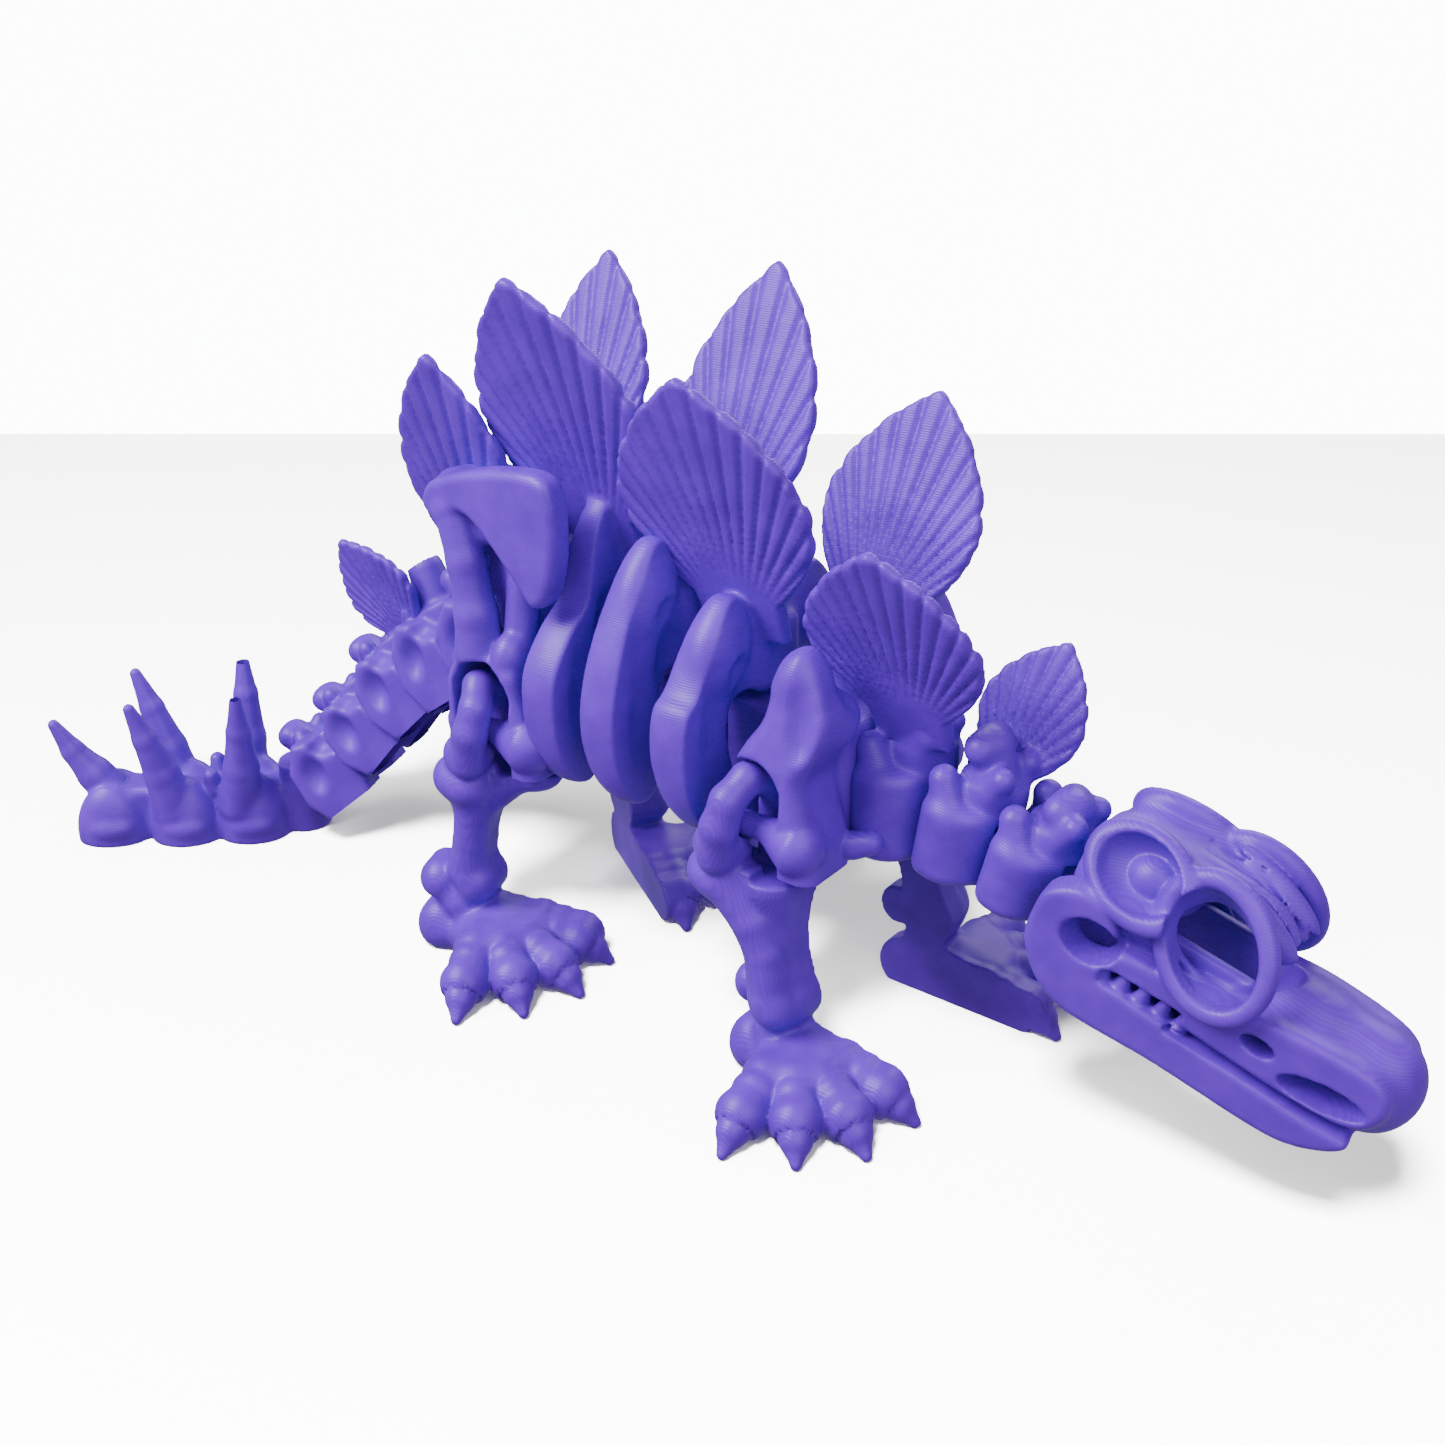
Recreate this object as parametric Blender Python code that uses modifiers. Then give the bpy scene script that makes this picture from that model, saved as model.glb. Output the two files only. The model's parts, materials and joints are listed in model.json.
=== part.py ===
"""A jointed skeleton toy of a plated dinosaur, printed in place in one colour of matte plastic.

Fourteen vertical posts link fifteen spine pieces, and each of the four legs hangs by a loop on a bar.
Forward is +X, the toy's left is +Y, and it stands on z = 0. All the sizes below are in millimetres.
"""

import math

import bmesh
import bpy
from mathutils import Matrix, Vector

MM = 0.001

# ---------------------------------------------------------------- driving dimensions, mm and degrees
FOOTPRINT_CENTRE = (-44.1, -0.91)  # the middle of the standing toy, measured from between the front ankles
BELLY = 44.0  # height of the flat underside of the trunk
JOINT_Z = 54.0  # height of the trunk's joints
CLEARANCE = 0.6  # between a drum and the hollow that the piece ahead leaves for it

# The joint of two spine pieces: a post in the rear piece's drum, and a ring on the piece ahead.
POST_R = 1.7
RING_BORE_R = 2.3
RING_R = 3.9
RING_HEIGHT = 5.2
SLOT_R = 4.6
SLOT_HEIGHT = 6.8
NECK_WIDTH = 3.4

# The joint of a leg: a bar along X across a socket in the girdle, and a loop of the leg around it.
BAR_R = 2.2
BAR_Y = 23.0
BAR_Z = 51.4
BAR_TO_BACK = 7.2  # from the bar's axis to the leg's flat inner face
BAR_TO_SHELF = 8.8  # from the bar's axis down to the shelf of the leg, which clears the belly's edge
LOOP_THICK = 3.6
SOCKET_DEPTH_Y = 10.2  # the sockets reach in to this distance from the middle
SOCKET_TOP = 64.4

PLATE_THICK = 3.2
PLATE_LEAN = 21.0

PURPLE = (0.16, 0.075, 0.60, 1.0)
ROUGHNESS = 0.5

# Spine pieces ahead of the tail: name, place of the front post (x, z), pitch, drum radius, drum top.
TRUNK = (
    ("neck_1", 36.8, 49.4, -13.0, 5.8, 8.0),
    ("neck_2", 24.2, 52.5, -8.0, 5.8, 9.0),
    ("neck_3", 11.2, 54.0, 0.0, 6.1, 10.5),
    ("shoulder_girdle", -2.6, 54.0, 0.0, 6.5, 9.0),
    ("front_ribs", -16.6, 54.0, 0.0, 6.5, 9.0),
    ("middle_ribs", -32.6, 54.0, 0.0, 6.5, 9.0),
    ("rear_ribs", -47.0, 54.0, 0.0, 6.5, 9.0),
    ("hip_girdle", -61.0, 54.0, 0.0, 6.5, 9.0),
)
# Tail pieces: name, pitch, yaw, distance to the next post, drum radius, half height.
TAIL_START = (-86.0, 62.0)
TAIL = (
    ("tail_1", 27.0, 0.0, 16.2, 6.0, 8.6),
    ("tail_2", 36.0, 2.0, 16.2, 6.0, 8.3),
    ("tail_3", 46.0, 8.0, 16.2, 5.9, 7.9),
    ("tail_4", 52.0, 14.0, 16.2, 5.8, 7.5),
    ("tail_5", 40.0, 22.0, 16.2, 5.7, 7.0),
)
CLUB_YAW = 42.0
SKULL_PITCH = -16.0


# ---------------------------------------------------------------- the scene and its collections
for old in list(bpy.data.objects):
    bpy.data.objects.remove(old, do_unlink=True)

toy = bpy.data.collections.new("plated_dinosaur")
tools = bpy.data.collections.new("shapes_to_join")
tools.hide_render = True
for collection in (toy, tools):
    bpy.context.scene.collection.children.link(collection)


def matte_plastic(name):
    material = bpy.data.materials.new(name)
    material.use_nodes = True
    shader = material.node_tree.nodes["Principled BSDF"]
    shader.inputs["Base Color"].default_value = PURPLE
    shader.inputs["Roughness"].default_value = ROUGHNESS
    shader.inputs["Metallic"].default_value = 0.0
    return material


# ---------------------------------------------------------------- frames
def frame(x, y, z, pitch=0.0, yaw=0.0):
    """A frame at a place, turned about Z by yaw and then nose up by pitch."""
    turn = Matrix.Rotation(math.radians(yaw), 4, "Z") @ Matrix.Rotation(math.radians(-pitch), 4, "Y")
    middle = Vector((*FOOTPRINT_CENTRE, 0))
    return Matrix.Translation((Vector((x, y, z)) - middle) * MM) @ turn


def spine_frames():
    """{name: the frame of its front post}, and the frame of the tail club's post."""
    found = {name: frame(x, 0, z, pitch) for name, x, z, pitch, _, _ in TRUNK}
    place = Vector((TAIL_START[0], 0, TAIL_START[1]))
    for name, pitch, yaw, length, _, _ in TAIL:
        found[name] = frame(*place, pitch, yaw)
        place = place - (found[name].to_3x3() @ Vector((length, 0, 0)))
    found["tail_club"] = frame(*place, 0.0, CLUB_YAW)
    return found


FRAMES = spine_frames()
DRUMS = {name: (radius, BELLY - JOINT_Z, top) for name, _, _, _, radius, top in TRUNK}
DRUMS.update({name: (radius, -half, half) for name, _, _, _, radius, half in TAIL})
DRUMS["neck_1"] = (5.8, -9.0, 8.0)
DRUMS["neck_2"] = (5.8, -9.4, 9.0)
for girdle in ("shoulder_girdle", "hip_girdle"):
    DRUMS[girdle] = (6.5, BELLY - JOINT_Z - 1.5, 9.0)
DRUMS["tail_club"] = (5.4, -FRAMES["tail_club"].translation.z / MM - 1.5, 6.2)


# ---------------------------------------------------------------- solids
def finish(obj, place, at=(0, 0, 0), turn=(0, 0, 0), bevel=0.0):
    """Applies the object's own scale, puts it at a spot of the frame, and hides it as a helper."""
    obj.data.transform(Matrix.Diagonal((*obj.scale, 1.0)))
    obj.scale = (1, 1, 1)
    spin = Matrix.Identity(4)
    for angle, axis in zip(turn, "XYZ"):
        spin = Matrix.Rotation(math.radians(angle), 4, axis) @ spin
    obj.matrix_world = place @ Matrix.Translation(Vector(at) * MM) @ spin
    if bevel:
        edge = obj.modifiers.new("rounding", "BEVEL")
        edge.width = bevel * MM
        edge.segments = 2
        edge.limit_method = "ANGLE"
    for user in list(obj.users_collection):
        user.objects.unlink(obj)
    tools.objects.link(obj)
    obj.hide_render = True
    obj.display_type = "WIRE"
    return obj


def block(place, low, high, bevel=0.0, turn=(0, 0, 0)):
    """A box between two corners."""
    bpy.ops.mesh.primitive_cube_add(size=1)
    obj = bpy.context.object
    obj.scale = [(b - a) * MM for a, b in zip(low, high)]
    return finish(obj, place, [(a + b) / 2 for a, b in zip(low, high)], turn, bevel)


def rod(place, radius, length, at, turn=(0, 0, 0), sides=20, tip=None):
    """A cylinder along its own Z, or a cone where a tip radius is given."""
    bpy.ops.mesh.primitive_cone_add(
        vertices=sides,
        radius1=radius * MM,
        radius2=(radius if tip is None else tip) * MM,
        depth=length * MM,
    )
    return finish(bpy.context.object, place, at, turn)


def strut(place, start, end, radius, tip=None, sides=10):
    """A rod, or a cone, from one point to another."""
    run = Vector(end) - Vector(start)
    bpy.ops.mesh.primitive_cone_add(
        vertices=sides,
        radius1=radius * MM,
        radius2=(radius if tip is None else tip) * MM,
        depth=run.length * MM,
    )
    obj = finish(bpy.context.object, place)
    middle = Matrix.Translation((Vector(start) + Vector(end)) / 2 * MM)
    obj.matrix_world = place @ middle @ run.to_track_quat("Z", "Y").to_matrix().to_4x4()
    return obj


def ball(place, radii, at, turn=(0, 0, 0), segments=10, rings=6):
    bpy.ops.mesh.primitive_uv_sphere_add(segments=segments, ring_count=rings, radius=1)
    obj = bpy.context.object
    obj.scale = [r * MM for r in radii]
    return finish(obj, place, at, turn)


def slab(place, loops, thick, at=(0, 0, 0), turn=(0, 0, 0), smooth=True, steps=3, round_edge=0.0):
    """A flat outline in its own XY plane, extruded both ways along Z. Further loops are holes."""
    curve = bpy.data.curves.new("outline", "CURVE")
    curve.dimensions = "2D"
    curve.fill_mode = "BOTH"
    curve.extrude = (thick / 2 - round_edge) * MM
    curve.bevel_depth = round_edge * MM
    curve.bevel_resolution = 0
    curve.offset = -round_edge * MM
    curve.resolution_u = steps
    for points in loops:
        if smooth:
            spline = curve.splines.new("BEZIER")
            spline.bezier_points.add(len(points) - 1)
            for knot, (x, y) in zip(spline.bezier_points, points):
                knot.co = (x * MM, y * MM, 0)
                knot.handle_left_type = knot.handle_right_type = "AUTO"
        else:
            spline = curve.splines.new("POLY")
            spline.points.add(len(points) - 1)
            for knot, (x, y) in zip(spline.points, points):
                knot.co = (x * MM, y * MM, 0, 1)
        spline.use_cyclic_u = True
    flat = bpy.data.objects.new("outline", curve)
    tools.objects.link(flat)
    bpy.context.view_layer.update()
    mesh = bpy.data.meshes.new_from_object(flat.evaluated_get(bpy.context.evaluated_depsgraph_get()))
    bpy.data.objects.remove(flat)
    welded(mesh)
    obj = bpy.data.objects.new("slab", mesh)
    tools.objects.link(obj)
    return finish(obj, place, at, turn)


def welded(mesh):
    cage = bmesh.new()
    cage.from_mesh(mesh)
    bmesh.ops.remove_doubles(cage, verts=cage.verts, dist=1e-6)
    bmesh.ops.recalc_face_normals(cage, faces=cage.faces)
    cage.to_mesh(mesh)
    cage.free()


PLANS = []


def both(make, *args):
    """The same shape on the toy's right (side -1) and left (side 1)."""
    return [make(side, *args) for side in (-1, 1)]


def boolean(obj, operation, shapes):
    if not shapes:
        return
    group = bpy.data.collections.new(f"{obj.name} {operation.lower()}")
    group.hide_render = True
    tools.children.link(group)
    for shape in shapes:
        tools.objects.unlink(shape)
        group.objects.link(shape)
    step = obj.modifiers.new(operation.lower(), "BOOLEAN")
    step.operation = operation
    step.operand_type = "COLLECTION"
    step.collection = group
    step.solver = "EXACT"


def piece(name, joint, *steps):
    """One printed piece with its origin on its joint: joins, cuts, joins and cuts the shapes given.

    The Booleans are added at the end, so that they are worked out only once.
    """
    first, *joined = steps[0]
    first.data.transform(joint.inverted() @ first.matrix_world)
    first.matrix_world = joint
    first.name = first.data.name = name
    first.hide_render = False
    first.display_type = "TEXTURED"
    tools.objects.unlink(first)
    toy.objects.link(first)
    first.data.materials.clear()
    first.data.materials.append(matte_plastic(f"purple plastic {name}"))
    PLANS.append((first, (joined, *steps[1:])))
    return first


# ---------------------------------------------------------------- what every spine joint shares
def drum(name):
    radius, low, high = DRUMS[name]
    return rod(FRAMES[name], radius, high - low, (0, 0, (low + high) / 2), sides=20)


def drum_slot(name):
    """The hollow of the drum, open to the front for the neck of the piece ahead."""
    radius, _, _ = DRUMS[name]
    hollow = rod(FRAMES[name], SLOT_R, SLOT_HEIGHT, (0, 0, 0), sides=18)
    mouth = block(FRAMES[name], (0, -4.4, -SLOT_HEIGHT / 2), (radius + 3, 4.4, SLOT_HEIGHT / 2))
    return [hollow, mouth]


def post(name):
    return rod(FRAMES[name], POST_R, SLOT_HEIGHT + 2, (0, 0, 0), sides=12)


def room_for(name):
    """What a piece leaves free for the drum of the piece behind it."""
    radius, low, high = DRUMS[name]
    low -= 4
    high += CLEARANCE
    return rod(FRAMES[name], radius + CLEARANCE, high - low, (0, 0, (low + high) / 2), sides=20)


def ring(name, reach=1.6):
    """The ring and its neck, which end the piece ahead of the one named."""
    radius, _, _ = DRUMS[name]
    start = RING_BORE_R + 0.8
    half = NECK_WIDTH / 2
    low = (start, -half, 0.3 - RING_HEIGHT / 2)
    high = (radius + CLEARANCE + reach, half, RING_HEIGHT / 2 - 0.3)
    return [rod(FRAMES[name], RING_R, RING_HEIGHT, (0, 0, 0), sides=18), block(FRAMES[name], low, high)]


def ring_bore(name):
    return [rod(FRAMES[name], RING_BORE_R, RING_HEIGHT + 4, (0, 0, 0), sides=14)]


# ---------------------------------------------------------------- plates
def leaf(width, height, tilt, scallops=3):
    """A fan-shaped outline on its stalk, with a point at the top and scalloped shoulders."""
    half = [(0.0, 1.0)]
    for step in range(1, 2 * scallops + 1):
        turn = math.radians(14 + 88 * step / (2 * scallops))
        swell = 1.0 if step % 2 else 0.93
        half.append((0.5 * swell * math.sin(turn) ** 0.9, 0.56 + 0.42 * swell * math.cos(turn)))
    half += [(0.40, 0.30), (0.25, 0.13), (0.20, -0.16)]
    lean = math.radians(tilt)
    points = [(x * width, y * height) for x, y in half]
    points += [(-x, y) for x, y in reversed(points[1:])]
    return [(x * math.cos(lean) - y * math.sin(lean), x * math.sin(lean) + y * math.cos(lean)) for x, y in points]


def plate(place, side, at, width, height, tilt=0.0, lean=PLATE_LEAN, thick=PLATE_THICK):
    """A plate that leans out to its side; tilt sends its tip back."""
    turn = (90 - side * lean, 0, 0)
    return slab(place, [leaf(width, height, tilt)], thick, at, turn, steps=1)


# ---------------------------------------------------------------- skull
def skull():
    """In plain coordinates, since it is modelled in the place where it rests."""
    here = frame(0, 0, 0)
    side_view = [
        (43.5, 52), (47, 60), (52.9, 63.5), (60, 64.5), (68, 62), (74, 57.5), (79, 50), (84.5, 46), (92, 43.5),
        (99, 40), (101, 35), (99.5, 29.5), (93, 24), (86, 24.2), (70, 28.2), (56, 31.6), (46.7, 33.1), (42.5, 40),
    ]
    top_view = [
        (42, 11.5), (50, 14), (60, 15), (70, 13.5), (80, 9.6), (90, 7.2), (97, 5.8), (101.2, 2.5),
        (101.2, -2.5), (97, -5.8), (90, -7.2), (80, -9.6), (70, -13.5), (60, -15), (50, -14), (42, -11.5),
    ]
    whole = slab(here, [side_view], 34, (0, 0, 0), (90, 0, 0), smooth=False)
    plan = slab(here, [top_view], 60, (0, 0, 45), smooth=False)
    trim = plan.modifiers.new("profile", "BOOLEAN")
    trim.operation = "INTERSECT"
    trim.object = whole
    trim.solver = "EXACT"
    orbits = both(lambda s: rod(here, 6.0, 9, (69.5, s * 13, 52.0), (90, 0, 0), sides=16))
    rims = both(lambda s: ball(here, (8.6, 3.2, 8.6), (69.5, s * 11.6, 52.0)))
    mouth = block(here, (61, -20, -1.6), (118, 20, 1.6), turn=(0, 14, 0))
    mouth.matrix_world = here @ Matrix.Translation(Vector((78, 0, 34.6)) * MM) @ Matrix.Rotation(math.radians(16), 4, "Y")
    throat = block(here, (38, -8.5, 24), (58, 8.5, 41))
    nape = block(here, (36, -9.2, 36), (44.6, 9.2, 70))
    windows = [
        rod(here, 3.4, 60, (57.8, 0, 56), (90, 0, 0), sides=12),
        rod(here, 2.2, 60, (80, 0, 40.6), (90, 0, 0), sides=12),
        rod(here, 1.6, 60, (91.5, 0, 37.6), (90, 0, 0), sides=12),
        rod(here, 2.2, 60, (52, 0, 44.6), (90, 0, 0), sides=12),
    ]
    teeth = []
    for s in (-1, 1):
        for step in range(6):
            x = 66 + 4.2 * step
            z = 39.2 - 0.285 * 4.2 * step
            teeth.append(rod(here, 1.3, 5.4, (x, s * (11.2 - 0.19 * 4.2 * step), z - 1.6), sides=8))
    horns = both(lambda s: ball(here, (5.5, 3.0, 3.0), (74, s * 9.6, 57.4), (0, 25, 0)))
    first = [plan, *rims, *horns]
    cuts = [*orbits, mouth, throat, nape, room_for("neck_1"), *windows]
    return piece("skull", here, first, cuts, [*teeth, *ring("neck_1", 4.2)], ring_bore("neck_1"))


# ---------------------------------------------------------------- neck
def neck_piece(name, behind, wide, arm, knob, crest):
    """A drum with a pair of side processes, and a knob on top that carries the plate."""
    here = FRAMES[name]
    radius, low, high = DRUMS[name]
    shapes = [drum(name)]
    shapes += both(lambda s: ball(here, (4.6, wide, 5.6), (-1.5, s * (radius - 1), low + 6.4)))
    shapes += both(lambda s: strut(here, (-2, s * 3, high - 4), (-4.5, s * arm, high + 1.5), 3.4, 2.4))
    shapes.append(strut(here, (0, 0, high - 3), knob, 4.4, 3.2, sides=12))
    shapes.append(ball(here, (4.2, 4.2, 3.8), knob))
    shapes += crest
    return piece(name, here, shapes, [*drum_slot(name), room_for(behind)], [post(name), *ring(behind, 0.9)], ring_bore(behind))


# ---------------------------------------------------------------- girdles
def loop_bar(side, low, high):
    length = high - low
    return rod(frame(0, 0, 0), BAR_R, length, ((low + high) / 2, side * BAR_Y, BAR_Z), (0, 90, 0), sides=16)


def socket(side, low, high):
    inner, outer = sorted((side * SOCKET_DEPTH_Y, side * 40))
    return block(frame(0, 0, 0), (low, inner, 38), (high, outer, SOCKET_TOP))


def side_slab(side, outline, inner, outer, round_edge=1.6, steps=1):
    """A part of a girdle drawn from the side, between two distances from the middle."""
    at = (0, side * (inner + outer) / 2, 0)
    return slab(frame(0, 0, 0), [outline], outer - inner, at, (90, 0, 0), steps=steps, round_edge=round_edge)


def shoulder_girdle():
    name, behind = "shoulder_girdle", "front_ribs"
    blade = [
        (-14.5, 36), (-15.5, 51), (-13.5, 60), (-11, 67), (-10.5, 76), (-5.5, 82), (1.5, 80.5), (5, 73), (3.6, 66), (4, 59),
        (7.2, 52), (6.8, 36),
    ]
    here = frame(0, 0, 0)
    shapes = [block(here, (-13, -12, BELLY - 2), (3.5, 12, 70), bevel=1.5), drum(name)]
    shapes += both(side_slab, blade, 11.6, 26.0, 2.5)
    shapes.append(strut(here, (-5, 0, 66), (-5, 0, 86), 6.5, 4.0, sides=14))
    shapes.append(plate(here, 1, (-3, 6.5, 84), 29, 38))
    cuts = [*drum_slot(name), room_for(behind)]
    cuts += both(socket, -11.3, -1.5)
    cuts += both(lambda s: rod(here, 4.2, 8, (-3, s * 27, 75), (90, 0, 0), sides=14))
    cuts.append(block(here, (-30, -30, 30), (30, 30, BELLY)))
    joins = [post(name), *ring(behind), *both(loop_bar, -13.5, 1.0)]
    return piece(name, FRAMES[name], shapes, cuts, joins, ring_bore(behind))


def hip_girdle():
    name, behind = "hip_girdle", "tail_1"
    here = frame(0, 0, 0)
    ilium = [(-85, 95), (-79, 91), (-66, 84), (-56, 79), (-51.5, 97), (-55.5, 104), (-73.5, 101)]
    thigh = [(-80, 36), (-79.5, 56), (-80.5, 66), (-79.5, 78), (-81, 90), (-72, 94), (-64, 84), (-62, 68), (-61.4, 56), (-61.4, 36)]
    shapes = [block(here, (-78.2, -12.3, BELLY - 2), (-61.7, 12.3, 86), bevel=1.5), drum(name)]
    shapes += both(side_slab, thigh, 8.0, 26.0, 3.0)
    shapes += both(side_slab, ilium, 19.4, 25.0, 1.5)
    shapes.append(block(here, (-76.3, -9.4, 77.6), (-65.4, 9.4, 95.6), bevel=1.7))
    shapes.append(plate(here, 1, (-70, 6, 94), 28, 41, 3))
    cuts = [*drum_slot(name), room_for(behind)]
    cuts += both(socket, -76.3, -62.7)
    cuts.append(block(here, (-95, -30, 30), (-40, 30, BELLY)))
    joins = [post(name), *ring(behind, 4.0), *both(loop_bar, -78.5, -61.0)]
    return piece(name, FRAMES[name], shapes, cuts, joins, ring_bore(behind))


# ---------------------------------------------------------------- ribs
def rib_outline(top, narrow):
    """One pair of ribs seen from the front: an arch with a gap at each side of the spine."""
    shoulder = [(8.5, top), (12.5, top - 5), (15.6, top - 17), (20.5, 75)] if narrow else [(12, top), (17.5, top - 5), (22.5, top - 15)]
    half = [
        (0, top - 6), (5, top - 2.5), *shoulder, (25.3, 68), (26, 60), (24.4, 52), (21, 46), (17.2, 44.3), (13.8, 46.5), (12.3, 52), (12.4, 59), (11, 64), (6.5, 67), (5.6, 60), (5.6, 50), (5, 44.8),
    ]
    points = [(y, z - JOINT_Z) for y, z in half]
    return points + [(-y, z) for y, z in reversed(points[1:])]


def ribs(name, behind, centre, top, side, at, size, tilt, narrow=False):
    here = FRAMES[name]
    x = here.translation.x / MM + FOOTPRINT_CENTRE[0]
    arch = slab(here, [rib_outline(top, narrow)], 7.6, (centre - x, 0, 0), (90, 0, 90), steps=1, round_edge=1.4)
    keel = block(here, (centre - x - 3.6, -5, BELLY - JOINT_Z), (0, 5, 9))
    reach = 3.9 if narrow else 6.0
    roof = block(here, (centre - x - reach, -5.5, 11), (centre - x + 6.0, 5.5, top - JOINT_Z - 7), bevel=1.8)
    leafy = plate(frame(0, 0, 0), side, at, *size, tilt)
    shapes = [arch, drum(name), keel, roof, leafy]
    cuts = [*drum_slot(name), room_for(behind)]
    if not narrow:
        cuts += both(lambda s: rod(here, 4, 3, (centre - x + 4.4, s * 13, top - JOINT_Z - 12), (0, 90, 0), sides=14))
    return piece(name, here, shapes, cuts, [post(name), *ring(behind)], ring_bore(behind))


# ---------------------------------------------------------------- tail
def tail_piece(name, behind, length, crest):
    here = FRAMES[name]
    radius, low, high = DRUMS[name]
    rear = -length / 2
    shapes = [drum(name)]
    shapes += both(lambda s: ball(here, (5.6, 5.6, high - 0.6), (rear + 0.6, s * (radius + 0.2), -0.4)))
    shapes.append(block(here, (rear - 2.5, 0.8 - radius, low + 1), (1.3, radius - 0.8, high - 1), bevel=1.5))
    shapes.append(strut(here, (rear, 0, high - 4), (rear, 0, high + 2.4), 4.4, 3.4, sides=12))
    shapes.append(ball(here, (3.8, 3.8, 3.2), (rear, 0, high + 2.6)))
    shapes += crest
    cuts = [*drum_slot(name), room_for(behind)]
    if name == "tail_5":
        cuts.append(block(frame(-150, 0, -10), (-30, -30, -20), (30, 30, 10.5)))
    return piece(name, here, shapes, cuts, [post(name), *ring(behind, 3.6)], ring_bore(behind))


def tail_club():
    name = "tail_club"
    here = FRAMES[name]
    radius, low, high = DRUMS[name]
    shapes = [drum(name), block(here, (-40, -4.6, low), (0.7, 4.6, low + 13), bevel=1.5)]
    for x, wide, tall in ((-11, 10.6, 15), (-26, 10.6, 14), (-39.5, 8.6, 12.5)):
        shapes += both(lambda s, x=x, w=wide, t=tall: ball(here, (7.6, w * 0.46, t * 0.62), (x, s * w * 0.56, low + t * 0.5), segments=12))
    for x, y, lean, spread in ((-13, 5.6, 6, 16), (-27, 5.2, 30, 18)):
        for s in (-1, 1):
            tip = (x - 25 * math.sin(math.radians(lean)), s * (y + 25 * math.sin(math.radians(spread))), low + 10 + 23 * math.cos(math.radians(lean)))
            shapes.append(strut(here, (x, s * y, low + 9), tip, 4.0, 1.2, sides=12))
    shapes.append(strut(here, (-38, 0, low + 8), (-57, 0, low + 24), 4.2, 1.2, sides=12))
    cuts = [*drum_slot(name), block(here, (-80, -40, low - 20), (30, 40, low + 1.5))]
    return piece(name, here, shapes, cuts, [post(name)])


# ---------------------------------------------------------------- legs
def toes(place, side, ankle, lean=0.0):
    """The four toes: each claw tip from the ankle, forward and outward."""
    shapes = []
    for forward, out in ((2.9, 24.5), (14.5, 19.2), (22.7, 10.1), (23.9, -2.3)):
        start = (ankle[0] + 0.15 * forward, side * (ankle[1] + 0.12 * out), 8 - BAR_Z)
        knuckle = (ankle[0] + 0.62 * forward, side * (ankle[1] + 0.62 * out), 6.2 - BAR_Z)
        tip = (ankle[0] + forward, side * (ankle[1] + out), 1.5 - BAR_Z)
        shapes.append(strut(place, start, knuckle, 5.2, 4.4, sides=8))
        shapes.append(ball(place, (4.4, 4.4, 4.2), knuckle, segments=8, rings=4))
        shapes.append(strut(place, knuckle, tip, 4.0, 1.2, sides=8))
    return shapes


def leg(name, side, x, yaw, outline, ankle, knobs, hock):
    """The frame's origin is on the bar, with the leg's flat inner face towards the middle."""
    here = frame(x, side * BAR_Y, BAR_Z) @ Matrix.Rotation(math.radians(-side * yaw), 4, "Z")
    back = -BAR_TO_BACK
    loop = [(back, -14), (back, 7.2), (-4.6, 11.2), (4.2, 11.2), (7.0, 7.4), (7.0, -14)]
    hole = [(-4.1, -2.9), (-4.1, 6), (-2.6, 8.0), (2.6, 8.0), (4.1, 6), (4.1, -2.9)]
    loops = [[(side * y, z) for y, z in path] for path in (loop, hole)]
    shape = [(a, b - BAR_Z) for a, b in outline]
    bulk = slab(here, [shape], 10.6, (0, side * (back + 5.3), 0), (90, 0, 0), steps=1, round_edge=1.6)
    shapes = [bulk, slab(here, loops, LOOP_THICK, (0, 0, 0), (90, 0, 90), smooth=False)]
    for ax, out, az, radius in knobs:
        shapes.append(ball(here, (radius, radius, radius), (ax, side * out, az - BAR_Z)))
    shapes.append(strut(here, (hock[0], side * hock[1], 15 - BAR_Z), (ankle[0], side * ankle[1], 4 - BAR_Z), 6.2, 7.0, sides=14))
    shapes += toes(here, side, ankle)
    inner, outer = sorted((side * (back - 30), side * (back + 0.0)))
    ground = block(here, (-60, -60, -BAR_Z - 30), (60, 60, -BAR_Z))
    shelf = block(here, (-60, -20, -BAR_TO_SHELF), (-LOOP_THICK / 2, 20, 30))
    shelf_2 = block(here, (LOOP_THICK / 2, -20, -BAR_TO_SHELF), (60, 20, 30))
    flat = block(here, (-60, inner, -80), (60, outer, 30))
    return piece(name, here, shapes, [ground, shelf, shelf_2, flat])


FRONT_LEG = [
    (-14.5, 43), (-15, 39), (-10, 35), (-5.3, 32), (-1.6, 22), (-3, 15.6), (-1.2, 11), (-5, 4), (-4, 0), (13, 0), (14, 8),
    (12, 12.5), (13.1, 18.5), (10.6, 25), (11.6, 35), (13.1, 43),
]
HIND_LEG = [
    (-15, 43), (-15.5, 38.5), (-9, 33), (-10.5, 24), (-16, 16), (-17.5, 10), (-15, 5), (-17, 0), (6, 0), (6, 6), (1.5, 12.5), (2.2, 20),
    (2.4, 28), (8.5, 36), (17.5, 43),
]


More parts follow.
